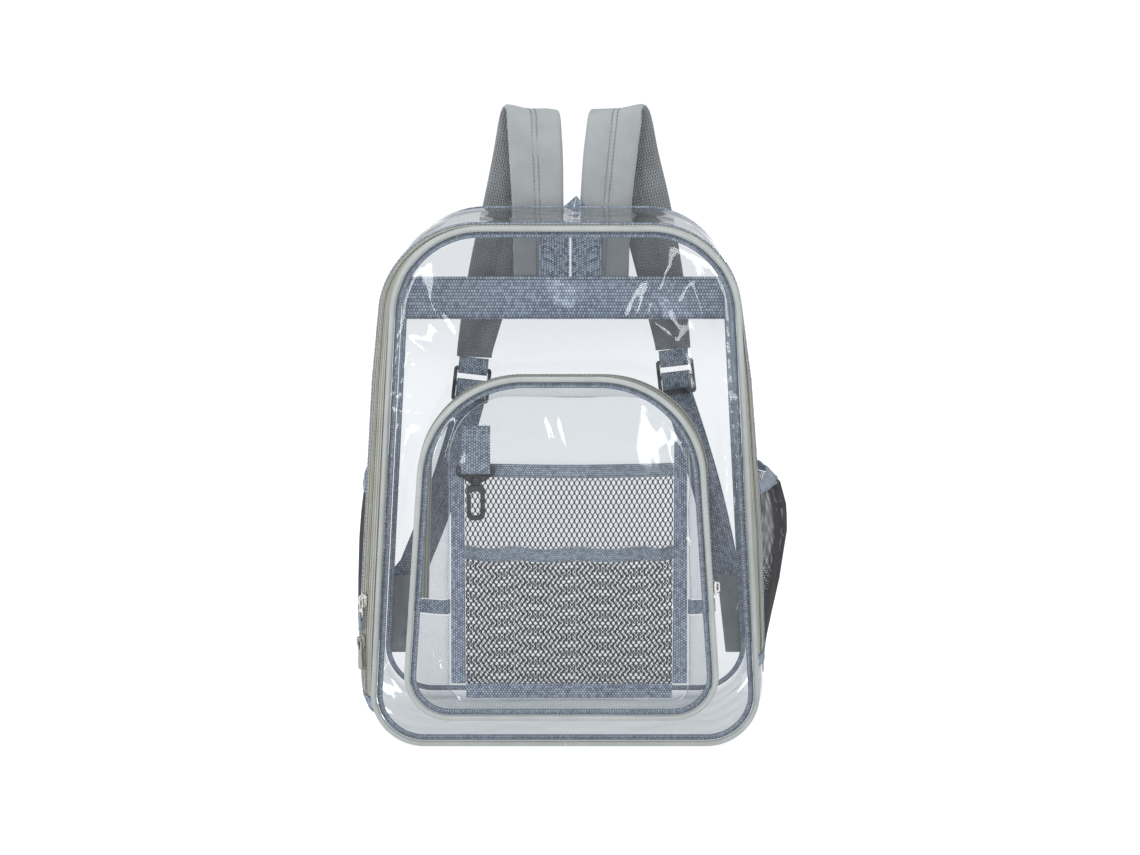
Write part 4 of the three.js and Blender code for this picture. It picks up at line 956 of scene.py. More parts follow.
def folded_rows(path, width, matrix, thickness):
    """Rows of a flat band's section along a path of (y, z) in a matrix's axes, with its width along x."""
    half = width / 2
    round_off = 0.35 * thickness
    section = [(-half, -0.5), (-half, 0.5), (-half + round_off, 1), (0, 1), (half - round_off, 1), (half, 0.5),
               (half, -0.5), (half - round_off, -1), (0, -1), (-half + round_off, -1)]
    rows = []
    for i, (y, z) in enumerate(path):
        y1, z1 = path[max(i - 1, 0)]
        y2, z2 = path[min(i + 1, len(path) - 1)]
        away = Vector((0, z2 - z1, y1 - y2)).normalized() * thickness / 2
        rows.append([matrix @ (Vector((x, y, z)) + away * side) for x, side in section])
    return rows


def finely(path, spacing):
    """A path with points added so that none lie further apart than a spacing."""
    fine = [path[0]]
    for p, q in zip(path, path[1:]):
        steps = max(1, math.ceil(math.dist(p, q) / spacing))
        fine += [tuple(a + (b - a) * k / steps for a, b in zip(p, q)) for k in range(1, steps + 1)]
    return fine


def turn_about(y, z, radius, first, last, steps):
    return turned([], (y, z), radius, first, last, steps)


slider_heights = {"upper": 118 * mm, "lower": 84 * mm}
for place, length in (("upper", 14 * mm), ("lower", 24 * mm)):
    u = at_height(bag_outline, False, slider_heights[place])
    matrix = zip_frame(on_gusset, u, coil_start + coil_width / 2, -1)
    plating = nickel if place == "upper" else dull_nickel
    add(f"slider_{place}", slider_mesh(f"slider_{place}", matrix), plating, "nickel", f"main_slider_{place}")
    swing = matrix @ Matrix.Translation((0, 0, pivot_height))
    body = f"{place}_pull"
    add(f"pull_tab_{place}", pull_mesh(f"pull_{place}", swing, length, place == "upper"), plating, "nickel",
        f"main_pull_{place}", body=body)
    if place == "upper":
        rim = -length + 0.7 * mm
        ribbon_wall = 0.8 * mm
        wrap = math.hypot(1.4 * mm, pull_wall) / 2 + gap + ribbon_wall / 2
        meet = (ribbon_wall + gap) / 2
        tip = -length - 11 * mm
        upright = Matrix(((1, 0, 0, 0), (0, 0, 1, 0), (0, 1, 0, 0), (0, 0, 0, 1)))
        path = [(-meet, tip), (-meet, rim - 3 * wrap), *turn_about(0, rim, wrap, 180, 0, 10),
                (meet, rim - 3 * wrap), (meet, tip)]
        rows = folded_rows(finely(path, 1.5 * mm), 4 * mm, swing @ upright, ribbon_wall)
        strip("ribbon_tab", rows, binding, "webbing", "pull_ribbon", body=body)

# Front pocket: a clear vinyl wall round a zip like the main one, between the pocket's piped front and its seam
# on the front panel. A strip of webbing is sewn over each end of the zip, from the piping to the panel.
pocket_swell = 6 * mm
pocket_swell_end = 0.8  # share of its depth at which the belly ends
pocket_tape_width = 9 * mm
pocket_coil_start = seam_start + pocket_tape_width + gap
pocket_rear_start = pocket_coil_start + coil_width + gap
pocket_film_start = pocket_rear_start + pocket_tape_width + gap
pocket_film_end = pocket_depth - film_wall / 2 - gap
pocket_zip_end = 136 * mm
pocket_zip_left = at_height(pocket_front, False, pocket_zip_end)
pocket_zip_right = at_height(pocket_front, True, pocket_zip_end)
tab_low_left = at_height(pocket_front, False, pocket_zip_end - 12 * mm)
tab_low_right = at_height(pocket_front, True, pocket_zip_end - 12 * mm)


def on_pocket(u, depth, out):
    """A point of the pocket's side at a depth behind its front, and an offset outwards."""
    x1, z1, nx1, nz1 = pocket_front(u)
    x2, z2, nx2, nz2 = pocket_seam(u)
    share = min(max(depth / pocket_depth, 0), 1)
    inward = share * share * (3 - 2 * share)
    away = pocket_swell * math.sin(math.pi * min(share / pocket_swell_end, 1)) + out
    nx = nx1 + (nx2 - nx1) * inward
    nz = nz1 + (nz2 - nz1) * inward
    return Vector((x1 + (x2 - x1) * inward + nx * away, pocket_y + depth, z1 + (z2 - z1) * inward + nz * away))


front_edge("pocket", on_ring(pocket_front, pocket_y), pocket_front, "pocket_piping", "pocket_seam_binding")
zip_run("pocket_zip", on_pocket, pocket_front, pocket_zip_right, pocket_zip_left, pocket_tape_width,
        (seam_start, pocket_coil_start, pocket_rear_start),
        ("pocket_zip_tape_front", "pocket_zip_coil", "pocket_zip_tape_rear"))
side_sheet(
    "pocket_gusset_sheet", on_pocket, pocket_front, pocket_zip_right, pocket_zip_left,
    across(pocket_film_start, pocket_film_end, 10), 13, "pocket_gusset_film", swing=1.1 * mm)
side_sheet(
    "pocket_base_sheet", on_pocket, pocket_front, tab_low_left, tab_low_right + 10,
    across(seam_start, pocket_film_end, 18), 14, "pocket_base_film", swing=0.9 * mm)
for side, start, end in (("left", pocket_zip_left + end_gap, tab_low_left - end_gap),
                         ("right", tab_low_right + end_gap, pocket_zip_right - end_gap)):
    patch = rounded(seam_start, pocket_film_end, -cover_wall / 2, cover_wall / 2, 0.3, 10)
    tab = sweep(f"pocket_tab_{side}", on_pocket, pocket_front, start, end, patch, 1.5 * mm)
    add(f"pocket_tab_tape_{side}", tab, webbing, "webbing", f"pocket_end_tab_{side}")

u = at_height(pocket_front, True, pocket_zip_end + 2 * mm + slider_length / 2)
matrix = zip_frame(on_pocket, u, pocket_coil_start + coil_width / 2, 1)
add("slider_pocket", slider_mesh("slider_pocket", matrix), nickel, "nickel", "pocket_slider")

# Organizer: two black nets with woven binding on their mouths, sewn to the front panel inside the pocket by
# bindings at the sides and along the bottom. The short front net is stitched to the tall one in four cells.
panel_face = front_y - film_wall / 2
organizer_binding = 12 * mm
organizer_half = 97 * mm - film_wall - 2 * gap
net_half = organizer_half - organizer_binding - gap
organizer_low = 40 * mm + film_wall + 2 * gap
net_low = organizer_low + organizer_binding + gap
organizer_top = 236 * mm
organizer_middle = 169 * mm
mouth = 11 * mm
binding_y = panel_face - gap - binding_wall
net_wall = 1 * mm
net_seams = (0, 0.235, 0.53, 0.855, 1)  # shares of the net's width


def rear_net_out(x, z):
    rise = min(max((z - net_low) / (organizer_top - net_low), 0), 1)
    return 7 * mm * math.cos(math.pi / 2 * x / net_half) * rise


def front_net_out(x, z):
    rise = min(max((z - net_low) / (organizer_middle - net_low), 0), 1)
    place = (x / net_half + 1) / 2
    i = max(k for k in range(4) if net_seams[k] <= place + 1e-9)
    share = (place - net_seams[i]) / (net_seams[i + 1] - net_seams[i])
    return rear_net_out(x, z) + net_wall + gap + 9 * mm * abs(math.sin(math.pi * share)) * rise


def make_net_yarn():
    yarn = Finish("black_net_yarn")
    twist = yarn.noise(1800.0, 2.0)
    return yarn.solid(
        Base_Color=yarn.mixed(twist, (0.006, 0.006, 0.008), (0.04, 0.04, 0.045)), Roughness=0.55,
        Normal=yarn.bump(twist, 0.2 * mm, 0.6))


net_yarn = make_net_yarn()


six_sided = (0.86, 0.62, -0.62, -0.86, -0.62, 0.62)  # the swings of a strand over two rows of meshes
four_sided = (0.86, -0.86)


def knitted(name, surface, columns, rows, half_thick, swings):
    """A net of upright strands that swing from side to side and touch their neighbours in turn. surface takes
    shares across and up, and an offset outwards. swings go over two rows, in half columns."""
    points, faces = [], []
    turns = len(swings)
    steps = rows * turns // 2
    for column in range(columns):
        first = len(points)
        for step in range(steps + 1):
            swing = swings[(step + column % 2 * turns // 2) % turns]
            centre = min(max((column + 0.5 + swing / 2) / columns, 0.004), 0.996)
            here = surface(centre, step / steps, 0)
            out = (surface(centre, step / steps, 1 * mm) - here).normalized()
            beside = (surface(centre + 0.004, step / steps, 0) - here).normalized()
            points += [here + out * half_thick, here + beside * half_thick, here - out * half_thick,
                       here - beside * half_thick]
        for step in range(steps):
            for k in range(4):
                a = first + step * 4 + k
                b = first + step * 4 + (k + 1) % 4
                faces.append((a, b, b + 4, a + 4))
        last = first + steps * 4
        faces += [(first + 3, first + 2, first + 1, first), (last, last + 1, last + 2, last + 3)]
    mesh = bpy.data.meshes.new(name)
    mesh.from_pydata([tuple(p) for p in points], [], faces)
    mesh.shade_smooth()
    return mesh


def hung(out_at, low, high, lift=0.0):
    """A surface of the organizer, between two heights and from one side binding to the other."""
    def at(share, height, out):
        x = -net_half + 2 * net_half * share
        z = low + (high - low) * height
        return Vector((x + seam_shift, panel_face - gap - lift - out_at(x, z) - out, z))
    return at


# Shares across a flat band's section and through it, with rounded edges
band_section = [(0, 0.2), (0, 0.8), (0.04, 1), (0.35, 1), (0.65, 1), (0.96, 1), (1, 0.8), (1, 0.2), (0.96, 0),
                (0.65, 0), (0.35, 0), (0.04, 0)]

for place, out_at, top, columns, rows, half_thick in (
    ("rear", rear_net_out, organizer_top, 80, 44, 0.5 * mm),
    ("front", front_net_out, organizer_middle, 74, 42, 0.56 * mm),
):
    mouth_low = top - mouth
    net_top = mouth_low - gap
    surface = hung(out_at, net_low, net_top, net_wall / 2)
    net = add(f"{place}_net", knitted(f"{place}_net", surface, columns, rows, half_thick, six_sided), net_yarn,
              "net", f"organizer_{place}_net")
    surface = hung(out_at, mouth_low, top)
    rows = [[surface(k / 80, t, binding_wall * level) for t, level in band_section] for k in range(81)]
    node = {"rear": "organizer_top_binding", "front": "organizer_middle_binding"}[place]
    strip(f"{place}_net_binding", rows, binding, "webbing", node)
    lines = [[(surface(k / 80, t, binding_wall), Vector((0, -1, 0))) for k in range(81)] for t in (0.16, 0.84)]
    stitched(f"{place}_binding_stitches", lines, 3, (2.3, 0.5, 0.45), dark_thread)


def flat_band(name, rows, y, thickness, finish, *nodes, slot="webbing", rear=False):
    """A flat band between pairs of (x, z) points, from y to y plus its thickness. Its outer face is in front,
    or with rear at the back."""
    made = []
    for (x1, z1), (x2, z2) in rows:
        made.append([(x1 + (x2 - x1) * t, y + thickness * (level if rear else 1 - level), z1 + (z2 - z1) * t)
                     for t, level in band_section])
    return strip(name, made, finish, slot, *nodes)


for side, mirror, top in (("left", -1, organizer_top), ("right", 1, organizer_top + 18 * mm)):
    rows = []
    for z in across(net_low, top, 40):
        outer = pocket_seam(at_height(pocket_seam, True, z))[0] - seam_shift - film_wall - 2 * gap
        rows.append([(seam_shift + mirror * (net_half + gap), z), (seam_shift + mirror * outer, z)])
    flat_band(f"organizer_side_{side}", rows, binding_y, binding_wall, webbing, f"organizer_binding_{side}")
rows = [[(seam_shift + x, organizer_low), (seam_shift + x, net_low - gap)]
        for x in across(-net_half, net_half, 60)]
flat_band("organizer_foot", rows, binding_y, binding_wall, webbing, "organizer_binding_bottom")


def make_cell_thread():
    thread = Finish("rose_thread")
    twist = thread.noise(2500.0, 1.0)
    colour = thread.mixed(twist, (0.34, 0.24, 0.24), (0.6, 0.47, 0.46))
    return thread.solid(Base_Color=colour, Roughness=0.7)


surface = hung(front_net_out, net_low, organizer_middle - mouth, net_wall)
lines = [[(surface(share, k / 40, 0), Vector((0, -1, 0))) for k in range(41)] for share in net_seams[1:-1]]
stitched("cell_stitches", lines, 3.2, (2.7, 0.8, 0.7), make_cell_thread(), "net")

# Key hook: black acetal, on a folded webbing tab that is sewn to the front panel above the organizer. A bar
# frame carries the tab, its boss holds the stem of the swivelling body, and a spring gate closes the eye.


def make_plastic(name, colour, roughness=0.34):
    plastic = Finish(name)
    haze = plastic.noise(90.0, 3.0)
    grain = plastic.noise(1500.0, 2.0)
    return plastic.solid(
        Base_Color=plastic.mixed(haze, tuple(c * 0.7 for c in colour), tuple(c * 1.5 for c in colour)),
        Roughness=haze * 0.2 + roughness, Normal=plastic.bump(grain, 0.06 * mm, 0.5))


black_plastic = make_plastic("black_acetal", (0.012, 0.0125, 0.014))
webbing_wall = 1.5 * mm
hook_x = -71 * mm
hook_y = panel_face - 10.9 * mm
hook_bar_z = 234 * mm
hook_bar_radius = 2 * mm
hook_depth = 5 * mm
hook_tab_width = 23 * mm
hook_tab_top = 266 * mm
wrap = math.hypot(hook_bar_radius, hook_depth / 2) + gap + webbing_wall / 2
layer = (webbing_wall + gap) / 2
tab_back = panel_face - gap - webbing_wall
tab_face = panel_face - gap - webbing_wall / 2
lean = hook_y + (tab_back - hook_y) * 0.25
meet = hook_bar_z + 4 * wrap
path = [(tab_face, hook_tab_top), (lean + layer, meet)]
path += turn_about(hook_y, hook_bar_z, wrap, 0, -180, 12)
path += [(lean - layer, meet), (tab_face - 2 * layer, hook_tab_top)]
at_hook = Matrix.Translation((hook_x, 0, 0))
rows = folded_rows(finely(path, 1.6 * mm), hook_tab_width, at_hook, webbing_wall)
strip("hook_tab_web", rows, webbing, "webbing", "hook_tab")
tab_lines = []
for height in (256, 259.5, 263):
    share = (height * mm - meet) / (hook_tab_top - meet)
    y = (lean - layer) + (tab_back + webbing_wall / 2 - 2 * layer - (lean - layer)) * share - webbing_wall / 2
    tab_lines.append([(Vector((hook_x + x, y, height * mm)), Vector((0, -1, 0)))
                      for x in across(-hook_tab_width / 2 + 1 * mm, hook_tab_width / 2 - 1 * mm, 8)])
stitched("hook_tab_stitches", tab_lines, 1.7, (1.3, 0.55, 0.6), pale_thread)

hook_frame = Matrix.Translation((hook_x, hook_y, hook_bar_z)) @ Matrix.Rotation(math.pi / 2, 4, "X")
slot_half = hook_tab_width / 2 + 2 * gap
slot_low = -wrap - webbing_wall / 2 - 2 * gap
boss_low = -13 * mm
boss_radius = 4.4 * mm
shoulder = 15.5 * mm
arm_foot = -12 * mm
frame_outline = [(-boss_radius, arm_foot), (boss_radius, arm_foot), (shoulder - 4 * mm, slot_low - 1.6 * mm)]
for x, y, radius, first, last in (
    (shoulder - 3 * mm, slot_low + 1.4 * mm, 3 * mm, -60, 0),
    (shoulder - 2.4 * mm, hook_bar_radius - 2.4 * mm, 2.4 * mm, 0, 90),
    (-shoulder + 2.4 * mm, hook_bar_radius - 2.4 * mm, 2.4 * mm, 90, 180),
    (-shoulder + 3 * mm, slot_low + 1.4 * mm, 3 * mm, 180, 240),
):
    turned(frame_outline, (x, y), radius, first, last, 5)
frame_outline.append((-shoulder + 4 * mm, slot_low - 1.6 * mm))
slot_hole = rounded_box(-slot_half, slot_half, slot_low, -hook_bar_radius, 0.6 * mm)


def lathe(name, profile, matrix, sides=24):
    """A turned shape: profile lists (radius, height), closed along its own axis z."""
    rows = []
    for k in range(sides):
        turn = 2 * math.pi * k / sides
        rows.append([matrix @ Vector((r * math.cos(turn), r * math.sin(turn), z)) for r, z in profile])
    return loft(name, rows, looped=True)


upright_hook = Matrix.Translation((hook_x, hook_y, hook_bar_z))
head_top = boss_low + 4.2 * mm
head_low = head_top - 1.4 * mm
stem_radius = 1.7 * mm
bore = stem_radius + gap
head_radius = 2.7 * mm
well = head_radius + gap
boss = lathe("hook_boss", [
    (bore, boss_low), (boss_radius - 0.5 * mm, boss_low), (boss_radius, boss_low + 0.5 * mm),
    (boss_radius, slot_low - 1.2 * mm), (boss_radius - 0.6 * mm, slot_low - 0.6 * mm),
    (well, slot_low - 0.6 * mm), (well, head_low - gap), (bore, head_low - gap)], upright_hook)
well_top, well_low = slot_low - 0.3 * mm, arm_foot - 0.2 * mm
well_hole = [(well, well_top), (well, well_low), (-well, well_low), (-well, well_top)]
arms = cast("hook_arms", [frame_outline, slot_hole, well_hole], hook_depth - 0.2 * mm, 1.1 * mm, hook_frame)
add("hook_frame", joined("hook_frame", boss, arms), black_plastic, "plastic", "hook_base")

body_top = boss_low - gap
body_low = body_top - 29 * mm
body_half = 7.3 * mm
rim = 3.6 * mm
eye_top = body_top - 5.5 * mm
eye_low = body_low + rim
gate_x = -body_half + rim / 2
gate_radius = rim / 2 - gap / 3
gate_pivot = eye_low + 4.6 * mm
gate_top = eye_top - 1.8 * mm
body_outline = []
corner = 5 * mm
for x, y, first in ((body_half - corner, body_low + corner, -90), (body_half - corner, body_top - corner, 0),
                    (-body_half + corner, body_top - corner, 90)):
    turned(body_outline, (x, y), corner, first, first + 90, 10)
body_outline += [(-body_half, gate_top + gap), (-body_half + rim, gate_top + gap)]
eye_corner = 3 * mm
eye_x = body_half - rim - eye_corner
for x, y, first, last in ((-eye_x, eye_top - eye_corner, 150, 90), (eye_x, eye_top - eye_corner, 90, 0),
                          (eye_x, eye_low + eye_corner, 0, -90), (-eye_x, eye_low + eye_corner, -90, -180)):
    turned(body_outline, (x, y), eye_corner, first, last, 6)
seat = gate_radius + gap
seat_share = 0.72  # how far below the gate's pivot its seat begins
horn = gate_pivot - seat * seat_share
body_outline.append((-body_half + rim, horn))
seat_drop = math.degrees(math.asin(seat_share)) + 8
turned(body_outline, (gate_x, gate_pivot), seat, -seat_drop, seat_drop - 180, 8)
body_outline.append((-body_half, horn))
turned(body_outline, (-body_half + corner, body_low + corner), corner, 180, 270, 10)
plate = cast("hook_plate", [body_outline], hook_depth, 1.1 * mm, hook_frame)
stem = lathe("hook_stem", [
    (0.05 * mm, body_top - 0.4 * mm), (stem_radius, body_top - 0.4 * mm), (stem_radius, head_low),
    (head_radius, head_low), (head_radius, head_top - 0.3 * mm), (2.4 * mm, head_top),
    (0.05 * mm, head_top)], upright_hook)
add("hook_snap", joined("hook_snap", plate, stem), black_plastic, "plastic", "hook_body", body="hook")
gate_outline = [(gate_x + gate_radius, gate_pivot), (gate_x + gate_radius, gate_top - 1.2 * mm),
                (gate_x - gate_radius, gate_top)]
turned(gate_outline, (gate_x, gate_pivot), gate_radius, 180, 360, 10)
add("hook_lever", cast("hook_lever", [gate_outline], hook_depth - 1 * mm, 0.7 * mm, hook_frame), black_plastic,
    "plastic", "hook_gate", body="gate")

# Side pockets: black net gathered at its mouth into a blue-grey binding, sewn to the clear sides along both
# edges and below. The right one stands open, the left one is slack.
side_net_low = 52 * mm
side_net_top = 212 * mm
side_binding = 10 * mm
net_start = film_start + gap
net_end = film_end - gap
side_table = np.array([
    # height share, right, left
    (0, 0, 0), (0.12, 0.2, 0.4), (0.25, 0.42, 0.7), (0.44, 0.76, 0.9), (0.66, 1, 1), (0.8, 1, 0.9),
    (0.92, 0.85, 0.7), (1, 0.42, 0.5),
])
gathers = 5
gather_depth = 0.07


def side_net(right, swell):
    """The surface of a side pocket, by shares across and up."""
    u_low = at_height(bag_outline, right, side_net_low)
    u_top = at_height(bag_outline, right, side_net_top)

    def at(share, height, out):
        u = u_low + (u_top - u_low) * height
        depth = net_start + (net_end - net_start) * share
        real = (on_gusset(u, depth, 0).z - side_net_low) / (side_net_top - side_net_low)
        gather = 1 - gather_depth * real * math.cos(2 * math.pi * gathers * share)
        amount = np.interp(real, side_table[:, 0], side_table[:, 1 if right else 2])
        amount *= max(math.sin(math.pi * share), 0) ** 0.8 * gather
        return on_gusset(u, depth, gap + swell * amount + out)

    return at


for side, right, swell, flat_width, columns, rows in (
    ("right", True, 24 * mm, 134 * mm, 106, 94), ("left", False, 7 * mm, 122 * mm, 98, 82),
):
    surface = side_net(right, swell)
    binding_share = 1 - side_binding / (side_net_top - side_net_low)

    def below_binding(share, height, out, surface=surface):
        return surface(share, height * (binding_share - 0.002), out)

    mesh = knitted(f"{side}_side_net", below_binding, columns, rows, 0.3 * mm, four_sided)
    net = add(f"{side}_side_net", mesh, net_yarn, "net", f"side_net_{side}")
    shares = across(0, 1, 120)
    rows = [[surface(share, binding_share + (1 - binding_share) * t, binding_wall * level)
             for t, level in band_section] for share in shares]
    strip(f"{side}_side_net_binding", rows, binding, "webbing", f"side_net_binding_{side}")
    lines = [[(surface(share, binding_share + (1 - binding_share) * t, binding_wall),
               surface(share, 0.95, 1) - surface(share, 0.95, 0)) for share in shares] for t in (0.15, 0.85)]
    stitched(f"{side}_net_stitches", lines, 3, (2.3, 0.5, 0.45), dark_thread)

# Cross band and haul loop: wide blue-grey webbing sewn flat across the back under the seam, and a darker loop
# of the same webbing on it, whose two legs meet in a folded tip above the bag.
band_low = 327 * mm
band_width = 36 * mm
band_y = back_y + film_wall / 2 + gap
strap_webbing_width = 25 * mm
band_cloth = make_woven(
    "cross_band_webbing", (0.085, 0.11, 0.165), (0.52, 0.6, 0.72), 2.4 * mm, 2.7 * mm, fleck=0.38,
    height=0.5 * mm)
loop_cloth = make_woven(
    "haul_loop_webbing", (0.03, 0.042, 0.075), (0.44, 0.51, 0.61), 2.1 * mm, 2.2 * mm, fleck=0.6,
    height=0.5 * mm)


def side_at(z):
    return bag_outline(at_height(bag_outline, True, z))[0] - 1.5 * mm


rows = []
for share in across(-1, 1, 90):
    low_x, high_x = share * side_at(band_low), share * side_at(band_low + band_width)
    rows.append([(low_x, band_low), (high_x, band_low + band_width)])
flat_band("cross_band_web", rows, band_y, webbing_wall, band_cloth, "cross_band", rear=True)
lines = []
for z in (band_low + 2.2 * mm, band_low + band_width - 2.2 * mm):
    for y, face in ((band_y + webbing_wall, 1), (band_y - film_wall - 2 * gap, -1)):
        lines.append([(Vector((x, y, z)), Vector((0, face, 0)))
                      for x in across(-side_at(z) + 1 * mm, side_at(z) - 1 * mm, 60)])
stitched("cross_band_stitches", lines, 3.2, (2.5, 0.7, 0.5), dark_thread)

haul_x = 4 * mm
haul_width = 26 * mm
haul_low = band_low + 8 * mm
haul_top = 431 * mm
haul_shoulder = haul_top - haul_width
haul_slit = 0.8 * mm
haul_y = band_y + webbing_wall + gap
haul_peak = 5 * mm
for side, mirror in (("left", -1), ("right", 1)):
    rows = [[(haul_x + mirror * haul_slit, z), (haul_x + mirror * haul_width, z)]
            for z in across(haul_low, haul_shoulder, 16)]
    for share in across(0, 1, 8)[1:]:
        inner = haul_slit + (mirror * haul_peak - haul_slit) * share
        outer = haul_width + (mirror * haul_peak - haul_width) * share
        rise = haul_shoulder + (haul_top - haul_shoulder) * share
        rows.append([(haul_x + mirror * inner, rise), (haul_x + mirror * (outer + 0.1 * mm), rise - 0.2 * mm)])
    node = ["haul_loop"] if mirror < 0 else []
    flat_band(f"haul_leg_{side}", rows, haul_y, webbing_wall, loop_cloth, *node, rear=True)
boxes = []
for mirror in (-1, 1):
    for x in (3.5 * mm, haul_width - 3 * mm):
        boxes.append([(mirror * x, z) for z in across(haul_low + 2 * mm, band_low + band_width - 2 * mm, 6)])
    for z in (haul_low + 2 * mm, band_low + band_width - 3 * mm):
        boxes.append([(mirror * x, z) for x in across(3.5 * mm, haul_width - 3 * mm, 6)])
lines = [[(Vector((haul_x + x, haul_y + webbing_wall, z)), Vector((0, 1, 0))) for x, z in box] for box in boxes]
stitched("haul_loop_stitches", lines, 3, (2.4, 0.8, 0.6), pale_thread)

# Shoulder straps: foam padding between a pale grey woven face and a knitted mesh underside, folded over at the
# top, with two rows of stitches beside the middle seam. One end of each is sewn under the band, and the other
# holds a buckle.
strap_width = 45 * mm
strap_wall = 9 * mm
strap_top = 504 * mm
strap_stand_off = 34 * mm
strap_spread = 80 * mm
strap_ends = {"left": 291 * mm, "right": 298 * mm}
strap_sewn = band_low + 12 * mm
strap_table = np.array([
    # leg (0 near, 1 far), share of its height, left x, right x, stand-off, width, thickness, facing, roll
    (0, 0, 0.275, 0.388, 0.27, 0.96, 1, 0, 0),
    (0, 0.27, 0.28, 0.4, 0.27, 0.96, 1, 0, 0),
    (0, 0.5, 0.29, 0.42, 0.28, 0.96, 1, 0, 3),
    (0, 0.73, 0.306, 0.46, 0.32, 1, 1, 0, 5),
    (0, 0.895, 0.325, 0.5, 0.4, 1, 0.9, 10, 2),
    (0, 0.953, 0.338, 0.52, 0.5, 1, 0.75, 50, -5),
    (0, 0.972, 0.362, 0.55, 0.66, 1, 0.65, 90, -7),
    (0, 0.948, 0.4, 0.6, 0.82, 1, 0.75, 130, -5),
    (1, 0.909, 0.432, 0.64, 0.94, 1, 0.9, 165, 2),
    (1, 0.79, 0.487, 0.7, 1, 1, 1, 180, 4),
    (1, 0.607, 0.598, 0.825, 0.97, 0.96, 1, 180, 0),
    (1, 0.402, 0.74, 0.95, 0.88, 0.9, 1, 180, 0),
    (1, 0.196, 0.87, 1.06, 0.765, 0.8, 1, 180, 0),
    (1, 0.04, 0.96, 1.13, 0.66, 0.68, 0.75, 180, 0),
    (1, 0, 0.972, 1.142, 0.647, 0.66, 0.4, 180, 0),
])


def strap_stations(side, mirror):
    """Position, facing, width, thickness and roll at every row of the table."""
    stations = []
    for leg, height, left, right, out, width, thickness, facing, roll in strap_table:
        foot = strap_ends[side] if leg else strap_sewn
        stations.append([
            mirror * (left if side == "left" else right) * strap_spread, back_y + out * strap_stand_off,
            foot + height * (strap_top - foot), facing, width * strap_width, thickness * strap_wall,
            mirror * roll])
    return np.array(stations)


def flowing(stations, spacing):
    """More stations on a smooth curve through the given ones, evenly spaced."""
    padded = np.concatenate([[2 * stations[0] - stations[1]], stations, [2 * stations[-1] - stations[-2]]])
    fine = []
    for a, b, c, d in zip(padded, padded[1:], padded[2:], padded[3:]):
        for t in np.linspace(0, 1, 12, endpoint=False):
            fine.append(0.5 * (2 * b + (c - a) * t + (2 * a - 5 * b + 4 * c - d) * t ** 2
                               + (3 * b - a - 3 * c + d) * t ** 3))
    fine = np.array(fine + [stations[-1]])
    travelled = np.concatenate([[0], np.cumsum(np.linalg.norm(np.diff(fine[:, :3], axis=0), axis=1))])
    wanted = np.linspace(0, travelled[-1], max(2, round(travelled[-1] / spacing)) + 1)
    return np.stack([np.interp(wanted, travelled, fine[:, k]) for k in range(fine.shape[1])], axis=1), wanted


def strap_frames(stations):
    """Where each station is, with its directions across and out of the face."""
    frames = []
    for i, (x, y, z, facing, width, thickness, roll) in enumerate(stations):
        before, after = stations[max(i - 1, 0)][:3], stations[min(i + 1, len(stations) - 1)][:3]
        run = Vector(after - before).normalized()
        angle = math.radians(facing)
        face = Vector((0, -math.cos(angle), math.sin(angle)))
        face = (face - run * face.dot(run)).normalized()
        face = (Matrix.Rotation(math.radians(roll), 3, run) @ face).normalized()
        frames.append((Vector((x, y, z)), run.cross(face).normalized(), face, width, thickness))
    return frames


# The section of a padded strap: share of its half width, and of its half thickness. It is drawn in a little at
# the two rows of stitches beside its middle seam, and rounds off to its folded edges.
strap_section = [
    (-1, 0.0), (-0.994, 0.34), (-0.975, 0.62), (-0.93, 0.84), (-0.84, 0.95), (-0.65, 1.0), (-0.45, 1.0),
    (-0.28, 0.97), (-0.16, 0.92), (-0.09, 0.8), (-0.05, 0.87), (0.0, 0.9), (0.05, 0.87), (0.09, 0.8),
    (0.16, 0.92), (0.28, 0.97), (0.45, 1.0), (0.65, 1.0), (0.84, 0.95), (0.93, 0.84), (0.975, 0.62),
    (0.994, 0.34), (1, 0.0),
]


def padded_rows(frames, travelled, seed):
    draw = random.Random(seed)
    waves = [(draw.uniform(0.02, 0.07), draw.uniform(0, 6.28), draw.uniform(0, 6.28)) for _ in range(6)]
    rows = []
    for (p, side, face, width, thickness), s in zip(frames, travelled):
        row = []
        for level in (1, -1):
            shares = strap_section if level > 0 else strap_section[-2:0:-1]
            for share, rise in shares:
                pucker = 0.25 * mm * math.sin(2 * math.pi * s / (7 * mm) + share * 2) * (abs(share) < 0.3)
                swell = sum(0.3 * mm * math.sin(2 * math.pi * s / length + phase + share * lean)
                            for length, phase, lean in waves) * (1 - abs(share)) * 0.7
                out = level * rise * thickness / 2 + level * (pucker + swell) * (rise > 0.05)
                row.append(p + side * share * width / 2 + face * out)
        rows.append(row)
    return rows


def make_strap_face():
    """Pale grey polyester in a plain weave, with a faint mottle and a soft sheen at grazing angles. The
    weave's crossings are painted a little paler than its hollows: painted highlight and painted shade.
    """
    face = Finish("strap_face")
    cloth = face.attribute("cloth")
    weave = cloth[0].waves(1.2 * mm) * cloth[1].waves(1.2 * mm)
    mottle = face.noise(60.0, 5.0)
    fleck = face.noise(1400.0, 2.0)
    # Painted shade and highlight: weave makes the hollows of the weave a little darker and its crossings paler;
    # mottle and fleck are random tone.
    tone = mottle * 0.45 + fleck * 0.35 + weave * 0.12 + 0.05
    colour = face.mixed(tone.held(), (0.19, 0.205, 0.21), (0.4, 0.42, 0.425))
    return face.solid(Base_Color=colour, Roughness=0.86, Sheen_Weight=0.25,
                      Normal=face.bump(weave + mottle, 0.25 * mm, 0.6))


